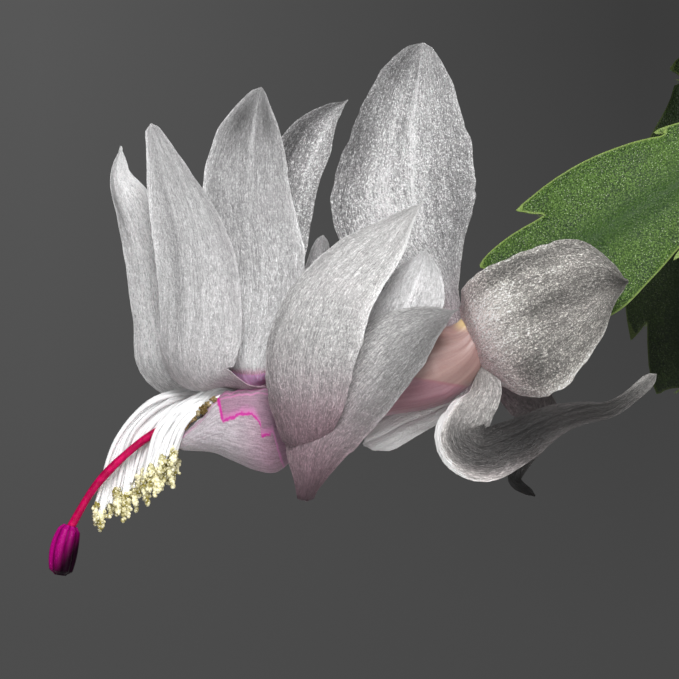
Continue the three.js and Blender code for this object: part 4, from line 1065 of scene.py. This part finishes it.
        spine=[(-2, 3.8, -12.2), (-5, 5, -15.2), (-3.6, 8.6, -16.4), (1.4, 11, -10.4), (7, 12, -4), (13, 12, 1.6)],
        faces=[(0, 0.7, -0.7), (0.5, 0.6, -0.9), (0.4, 1, 0), (0.3, 1, 0), (0.2, 1, 0)],
        left=[2.4, 3.2, 4.6, 5.2, 4.6, 3, 0.3],
        right=[2.4, 3.2, 4.6, 5.2, 4.6, 3, 0.3],
        cup=-0.12, crinkle=0.4,
        tone=[0.75, 0.85, 0.95, 1, 1],
        blush=[0.6, 0.3, 0.05, 0, 0],
    ),
    "outer_far": dict(
        spine=[(20.2, 2.4, -2.4), (21.8, 5.4, -1.2), (26.4, 10, 0.6), (31.6, 11.8, 2.2), (38, 12.4, 4.4)],
        faces=[(0.4, 0.9, -0.1), (0.1, 1, 0), (0, 1, 0)],
        left=[4, 6, 7.4, 7.8, 6.4, 4, 0.4],
        right=[4, 6, 7.4, 7.8, 6.4, 4, 0.4],
        cup=-0.1, crinkle=0.8, warm=0.4,
        tone=[0.9, 0.8, 0.75, 0.75, 0.8],
        blush=[0.4, 0.1, 0, 0, 0],
    ),
}


def patch_tone(patches, share, across):
    """How much the patches of painted shade and painted highlight dull or brighten one place of a tepal."""
    tone = 1.0
    for share_at, across_at, long, wide, amount in patches:
        far = ((share - share_at) / long) ** 2 + ((across - across_at) / wide) ** 2
        tone *= 1 - (1 - amount) * math.exp(-far)
    return tone


def tepal_grid(name, shape, rows=64, columns=25):
    """The middle surface of a tepal as a grid, with half its thickness and the values that its material reads."""
    curve = Curve(shape["spine"])
    faces = [unit(f) for f in shape["faces"]]
    seed = sum(ord(c) for c in name)
    crinkle, fold, cup = shape["crinkle"], shape.get("fold", 0), shape["cup"]
    grid, grow = np.zeros((2, rows, columns, 3))
    thick, blush, tones = np.zeros((3, rows, columns))
    broad = 0.5 * (max(shape["left"]) + max(shape["right"]))
    for i in range(rows):
        share = i / (rows - 1)
        tangent = curve.tangent(share)
        place = share * (len(faces) - 1)
        index = min(int(place), len(faces) - 2)
        face = faces[index] + (faces[index + 1] - faces[index]) * (place - index)
        side = unit(np.cross(tangent, face))
        out = np.cross(side, tangent)
        point = 1 - 0.75 * float(smooth(0.955, 1.0, share))
        if "blunt" in shape:
            point = max(1 - max((share - shape["blunt"]) / (1 - shape["blunt"]), 0) ** 2, 0.0004) ** 0.5
        uneven = [1 + 0.035 * wobble((share * curve.length, 5 * end, seed), 0.55, seed * 0.7) for end in (0, 1)]
        left = max(along(shape["left"], share), 0.12) * point * uneven[0]
        right = max(along(shape["right"], share), 0.12) * point * uneven[1]
        middle, tone = curve.at(share), along(shape["tone"], share)
        fade, crease_in, fold_in = (float(smooth(a, b, share)) for a, b in ((0, 0.12), (0.2, 0.5), (0.45, 0.85)))
        painted_rim_light = 0.3 * float(smooth(0.3, 0.5, share))
        blush[i] = along(shape["blush"], share)
        for j in range(columns):
            across = 2 * j / (columns - 1) - 1
            reach = (left if across < 0 else right) * across
            p = middle + side * reach + out * (cup * (left + right) * (0.5 - across * across))
            wave = 0.3 * wobble(p, 0.17, seed * 0.37) + 0.12 * wobble(p, 0.5, seed * 0.11)
            ridge = 0.05 * math.sin(reach * 4.6 + seed) + 0.035 * math.sin(reach * 7.9 + 2 * seed)
            wave += ridge * (0.6 + 1.2 * crinkle)
            crease = -0.16 * math.exp(-((reach / 0.55) ** 2)) * crease_in
            crease -= fold * math.exp(-abs(reach) / 1.6) * fold_in * np.sign(cup)
            grid[i, j] = p + out * (wave * fade + crease * np.sign(cup))
            grow[i, j] = (across * broad / 10, share * curve.length / 10, share)
            edge = (1 - abs(across)) * (left + right) / 2
            thick[i, j] = 0.07 + 0.26 * float(smooth(0.0, 2.2, edge))
            # Painted highlight along the margins, from a third of the way along to the tip.
            rim = 1 + painted_rim_light * float(smooth(0.45, 0.0, edge))
            # Painted shade and light: the tone along the tepal, the painted highlight along its margins and the
            # painted patches.
            tones[i, j] = tone * rim * patch_tone(shape.get("patches", ()), share, across)
    level = np.ones((rows, columns))
    looks = {"blush": blush, "tone": tones, "crinkle": level * crinkle, "warm": level * shape.get("warm", 0)}
    return grid, thick, {"grow": grow, **looks}


for name, shape in TEPALS.items():
    grid, thick, looks = tepal_grid(name, shape)
    points, faces = plate(grid, thick)
    parts = Parts()
    parts.add(points, faces, **{key: twice(values) for key, values in looks.items()})
    kept(parts.made("tepal_" + name, PETAL, BLOOM_AT, 60), "petal", "bloom_perianth")


def mouth_share(out):
    """How far along the tube its slanted mouth lies on the side that faces out."""
    return 0.9 + 0.1 * max(-0.6, min(1, 0.9 * out[1] + 0.5 * out[2]))


def tube_radius(share):
    return float(np.interp(share * (len(TUBE_RADII) - 1), range(len(TUBE_RADII)), TUBE_RADII))


def floral_tube():
    """The hollow tube: an outer skin from the stem to the mouth and an inner one back to its floor."""
    curve = Curve(TUBE_LINE)
    sides, outer_rows, inner_rows = 96, 60, 30
    wall, floor = 0.9, 0.34
    points, grow, inner = [], [], []

    def ring(low, part, inside):
        for turn in turns(sides):
            rough = np.array([0, math.cos(turn), math.sin(turn)])
            share = low + part * (mouth_share(rough) - low)
            tangent = curve.tangent(share)
            out = unit(rough - tangent * rough.dot(tangent))
            ribs = 0.06 * math.sin(9 * turn + 1.5) + 0.012 * math.sin(23 * turn + 8 * share)
            radius = tube_radius(share) - wall * inside + ribs * float(smooth(0.02, 0.15, share))
            points.append(curve.at(share) + out * max(radius, 0.5))
            grow.append((turn * 0.6, share * curve.length / 10, share))
            inner.append(float(inside))

    for i in range(outer_rows + 1):
        ring(0, i / outer_rows, False)
    for i in range(inner_rows, -1, -1):
        ring(floor, i / inner_rows, True)
    rows = len(points) // sides
    parts = Parts()
    faces = grid_faces(rows, sides, closed=True) + end_caps(rows, sides)
    parts.add(points, faces, grow=grow, place=[tuple(p) for p in points], inside=inner)
    kept(parts.made("floral_tube", TUBE, BLOOM_AT, 60), "petal", "bloom_perianth")


floral_tube()

# The lip from the tube to its tip: x, its lowest z, the z of its margins and half its width.
LIP = [
    (-7, -17.6, -7.8, 6), (-9.6, -19.7, -7.3, 6.2), (-12.5, -19.3, -7, 6.1), (-15.5, -18.1, -7.6, 5.5),
    (-18.2, -16.9, -8.5, 4.7), (-20.4, -16.4, -11.4, 3.6), (-22.6, -16.3, -13.4, 2.1), (-24.3, -16.2, -15, 1),
]


def lip_piece():
    """The lower lip: a trough whose ragged margins reach up beside the filaments."""
    rows, columns = 56, 61
    wrap = math.radians(115)
    grid, grow = np.zeros((2, rows, columns, 3))
    thick, rim = np.zeros((2, rows, columns))
    for i in range(rows):
        share = i / (rows - 1)
        x, bottom, margin, half = (along([row[k] for row in LIP], share) for k in range(4))
        for j in range(columns):
            across = 2 * j / (columns - 1) - 1
            turn = wrap * across
            lift = (1 - math.cos(turn)) / (1 - math.cos(wrap))
            p = np.array([x, half * math.sin(turn), bottom + (margin - bottom) * lift])
            ragged = float(smooth(0.86, 1.0, abs(across)))
            p[2] += ragged * 0.5 * wobble(p, 1.1, 5) + 0.18 * wobble(p, 0.35, 2)
            p[1] += 0.05 * math.sin(6.5 * p[2] + 2 * p[0]) * (1 - ragged)
            grid[i, j] = p
            grow[i, j] = (turn * 0.45, (x + 24) / 10, share)
            rim[i, j] = half * wrap * (1 - abs(across))
            thick[i, j] = 0.08 + 0.22 * float(smooth(1.0, 0.8, abs(across))) * float(smooth(1.0, 0.9, share))
    points, faces = plate(grid, thick)
    parts = Parts()
    parts.add(points, faces, grow=twice(grow), place=[tuple(p) for p in points], rim=twice(rim))
    kept(parts.made("lower_lip", THROAT, BLOOM_AT, 60), "petal", "bloom_perianth")


lip_piece()


# Stamens
KNOBS = 26
SHORT_FILAMENTS = 9


def filament_line(side, lane, layer, fan):
    """The line of one filament; a lane between two others is read between them."""

    def mix(a, b):
        return a + (b - a) * fan

    near, wide = side * (1.4 + 0.66 * lane), side * (1.5 + 0.85 * lane)
    line = [
        (-12.6, near, -8.5 - 0.7 * layer),
        (mix(-19, -17.2), near, -8 - 0.35 * layer),
        (mix(-28, -21), wide, mix(-9.4, -10.3)),
        (mix(-33.6, -23.2), wide, mix(-15, -12.7)),
        (mix(-36.6, -24.8), wide, mix(-24.8, -16.6) - 1.6 * (1 - abs(lane - 1))),
    ]
    return [np.array(p, float) for p in line]


def ball(centre, radius, rings=4, sides=6):
    points = [centre + np.array([0, 0, radius])]
    for i in range(1, rings):
        a = math.pi * i / rings
        points += [centre + np.array(p) for p in circle(radius * math.sin(a), radius * math.cos(a), sides)]
    points.append(centre - np.array([0, 0, radius]))
    last = len(points) - 1
    faces = [(0, 1 + k, 1 + (k + 1) % sides) for k in range(sides)]
    faces += grid_faces(rings - 1, sides, 1, turned=True, closed=True)
    faces += [(last, last - sides + (k + 1) % sides, last - sides + k) for k in range(sides)]
    return points, faces


def anther(parts, end, rng, length, shade=0.0, knob=1.0):
    """A hanging column of pollen-covered knobs."""

    def add(points, faces):
        parts.add(points, faces, shade=[shade] * len(points))

    lean = np.array([rng.uniform(-0.16, 0.16), rng.uniform(-0.1, 0.1), -1])
    for _ in range(KNOBS):
        share = rng.random()
        turn = rng.uniform(0, 2 * math.pi)
        off = rng.uniform(0.15, 0.62) * math.sin(math.pi * (0.15 + 0.75 * share))
        centre = end + lean * (length * share - 0.4) + np.array([off * math.cos(turn), 0.7 * off * math.sin(turn), 0])
        add(*ball(centre, knob * rng.uniform(0.22, 0.4)))
    line = [end + lean * down for down in (-0.4, length * 0.5, length - 0.5)]
    add(*tube(line, lambda s, t: 0.34 * math.sin(math.pi * (0.1 + 0.8 * s)), 8, 5))


def stamens():
    """Two bundles of filaments from a collar in the tube, the far one shorter, and nine short ones by the lip."""
    rng = random.Random(5)
    white, yellow = Parts(), Parts()

    def strand(line, radius, sides=8, steps=30):
        points, faces = tube(line, radius, sides, steps)
        grow = [((k % sides) / sides * 0.3, (k // sides) / steps * 3.0, 0) for k in range(len(points))]
        white.add(points, faces, grow=grow)

    def thinning(share, turn):
        return 0.5 - 0.24 * share

    centre = Curve(TUBE_LINE).at(0.62)
    for side, layers, fan_from, extra in ((1, 4, 0.0, 34), (-1, 3, 0.62, 20)):
        core = [(centre[0], side * 2.5, centre[2]), (-5, side * 2.4, -8.4), (-13.4, side * 2.2, -9.4)]
        strand(core, lambda s, t: 1.15, 12, 12)
        for number in range(layers * 3):
            layer, lane = divmod(number, 3)
            fan = fan_from + (1 - fan_from) * number / (layers * 3 - 1)
            line = filament_line(side, lane, layer, fan)
            for k in (2, 3):
                line[k] += [rng.uniform(-0.3, 0.3), rng.uniform(-0.15, 0.15), rng.uniform(-0.3, 0.3)]
            strand(line, thinning)
            anther(yellow, line[-1], rng, rng.uniform(2.8, 4.3))
        for number in range(extra):
            fan = fan_from + (1 - fan_from) * (number + rng.uniform(0.2, 0.8)) / extra
            line = filament_line(side, rng.uniform(0, 2), rng.uniform(-0.6, 1.0), fan)
            line[1][2] += rng.uniform(0.3, 1.3)
            for k in (2, 3):
                line[k] += [rng.uniform(-0.4, 0.4), 0, rng.uniform(-0.4, 0.4)]
            strand(line, thinning)
            if rng.random() < 0.6:
                anther(yellow, line[-1], rng, rng.uniform(2.8, 4.3))
    for k in range(SHORT_FILAMENTS):
        share = (k + rng.uniform(0.1, 0.9)) / SHORT_FILAMENTS
        end = np.array([-18.6 - 4.9 * share, -4.6 + 2.4 * share, -8.9 - 4.3 * share])
        line = [(-12.6, -1.6, -8.8), (-15.6, -2.2, -8.2 - 0.6 * share), end + np.array([0.6, 0, 0.5]), end]
        strand(line, lambda s, t: 0.3 - 0.12 * s, steps=14)
        anther(yellow, end, rng, rng.uniform(0.5, 1.1), rng.uniform(0.6, 1.0), 0.62)
    collar = [centre + (0.35 * math.cos(a), 4.3 * math.cos(a), 4.3 * math.sin(a)) for a in turns(24)]
    strand([*collar, collar[0]], lambda s, t: 1.0, 10, 48)
    kept(white.made("filaments", FILAMENT, BLOOM_AT, 60), "filament", "bloom_stamens")
    kept(yellow.made("anthers", ANTHER, BLOOM_AT, 80), "filament", "bloom_stamens")


stamens()

# Pistil
STYLE_LINE = [
    (13.3, 0, -4.1), (8, 0, -5.3), (0, 0, -7.6), (-8, 0, -9.6), (-15, 0, -9.6), (-22, 0, -11.4), (-28, 0, -14.2),
    (-32, 0, -17.2), (-36.6, 0, -22), (-40.8, 0, -29),
]
STYLE_RADIUS = 0.62
STIGMA_LINE = [(-40.3, 0, -27.9), (-41.3, 0, -31.4), (-41.9, 0, -35.3)]


def pistil():
    points, faces = tube(STYLE_LINE, lambda s, t: STYLE_RADIUS + 0.04 * math.sin(40 * s), 16, 90)
    kept(mesh_object("style", points, faces, STYLE, BLOOM_AT), "pistil", "bloom_pistil")
    lobes, sides, steps = 7, 84, 40

    def ridge(share, turn):
        return abs(math.cos(lobes * turn / 2 + 0.6 * share))

    def radius(share, turn):
        body = 1.1 + 0.95 * math.sin(math.pi * (0.12 + 0.72 * share))
        close = 1 - 0.45 * float(smooth(0.9, 1.0, share)) - 0.25 * float(smooth(0.1, 0.0, share))
        return body * close * (0.86 + 0.2 * ridge(share, turn))

    points, faces = tube(STIGMA_LINE, radius, sides, steps)
    groove = [ridge(i / steps, turn) for i in range(steps + 1) for turn in turns(sides)]
    # low: how far a point lies towards the lower right, where the stigma is painted in shade.
    low = [float(smooth(-0.8, 1.1, 0.5 * (p[0] + 41.5) - 0.35 * (p[2] + 31.5))) for p in points]
    stigma = mesh_object("stigma", points, faces, STIGMA, BLOOM_AT, {"groove": groove, "low": low})
    kept(stigma, "pistil", "bloom_pistil")


pistil()

# Floor, backdrop, lights and camera
FLOOR_RADIUS, FLOOR_SIDES = 1500, 96
floor = mesh_object("floor", circle(FLOOR_RADIUS, 0, FLOOR_SIDES), [tuple(range(FLOOR_SIDES))], FLOOR)

# The grey wall behind, with painted light: its level changes over the width and the height of what the camera sees,
# lightest at the upper left and darkest at the upper right.
VIEW_HALF = 0.056
world = bpy.data.worlds.new("studio")
bpy.context.scene.world = world
world.use_nodes = True
studio = Graph(world.node_tree)
direction = studio.node("ShaderNodeTexCoord", output="Generated")


def over_view(axis):
    """From 0 to 1 over the width or the height of the picture."""
    inputs = {"Value": studio.part(direction, axis), "From Min": -VIEW_HALF, "From Max": VIEW_HALF}
    return studio.node("ShaderNodeMapRange", inputs)


def grey_mix(share, first, second):
    return studio.node("ShaderNodeMix", {0: share, 2: first, 3: second})


up = over_view(2)
grey = grey_mix(over_view(0), grey_mix(up, 0.0735, 0.0953), grey_mix(up, 0.063, 0.0452))
studio.put(world.node_tree.nodes["Background"].inputs["Color"], grey)
world.node_tree.nodes["Background"].inputs["Strength"].default_value = 1.0


def softbox(name, place, size, power):
    """A square area light that faces the bloom."""
    data = bpy.data.lights.new(name, "AREA")
    data.shape = "RECTANGLE"
    data.size = data.size_y = size
    data.energy = power
    lamp = bpy.data.objects.new(name, data)
    lamp.location = place
    lamp.rotation_euler = (Vector(BLOOM_AT * MM) - Vector(place)).to_track_quat("-Z", "Y").to_euler()
    bpy.context.scene.collection.objects.link(lamp)


softbox("key", (-0.12, -0.95, 0.85), 0.45, 15.4)
softbox("fill", (0.15, -1.2, 0.2), 0.9, 4.8)
softbox("back", (0.4, 0.9, 0.9), 0.6, 5)

camera_data = bpy.data.cameras.new("camera")
camera_data.sensor_width = 36
camera_data.lens = 283
camera_data.clip_start, camera_data.clip_end = 0.05, 30
camera = bpy.data.objects.new("camera", camera_data)
camera.location = (-0.172, -0.808, 0.205)
camera.rotation_euler = (math.radians(90), 0, 0)
bpy.context.scene.collection.objects.link(camera)
bpy.context.scene.camera = camera
bpy.context.scene.view_settings.view_transform = "Standard"
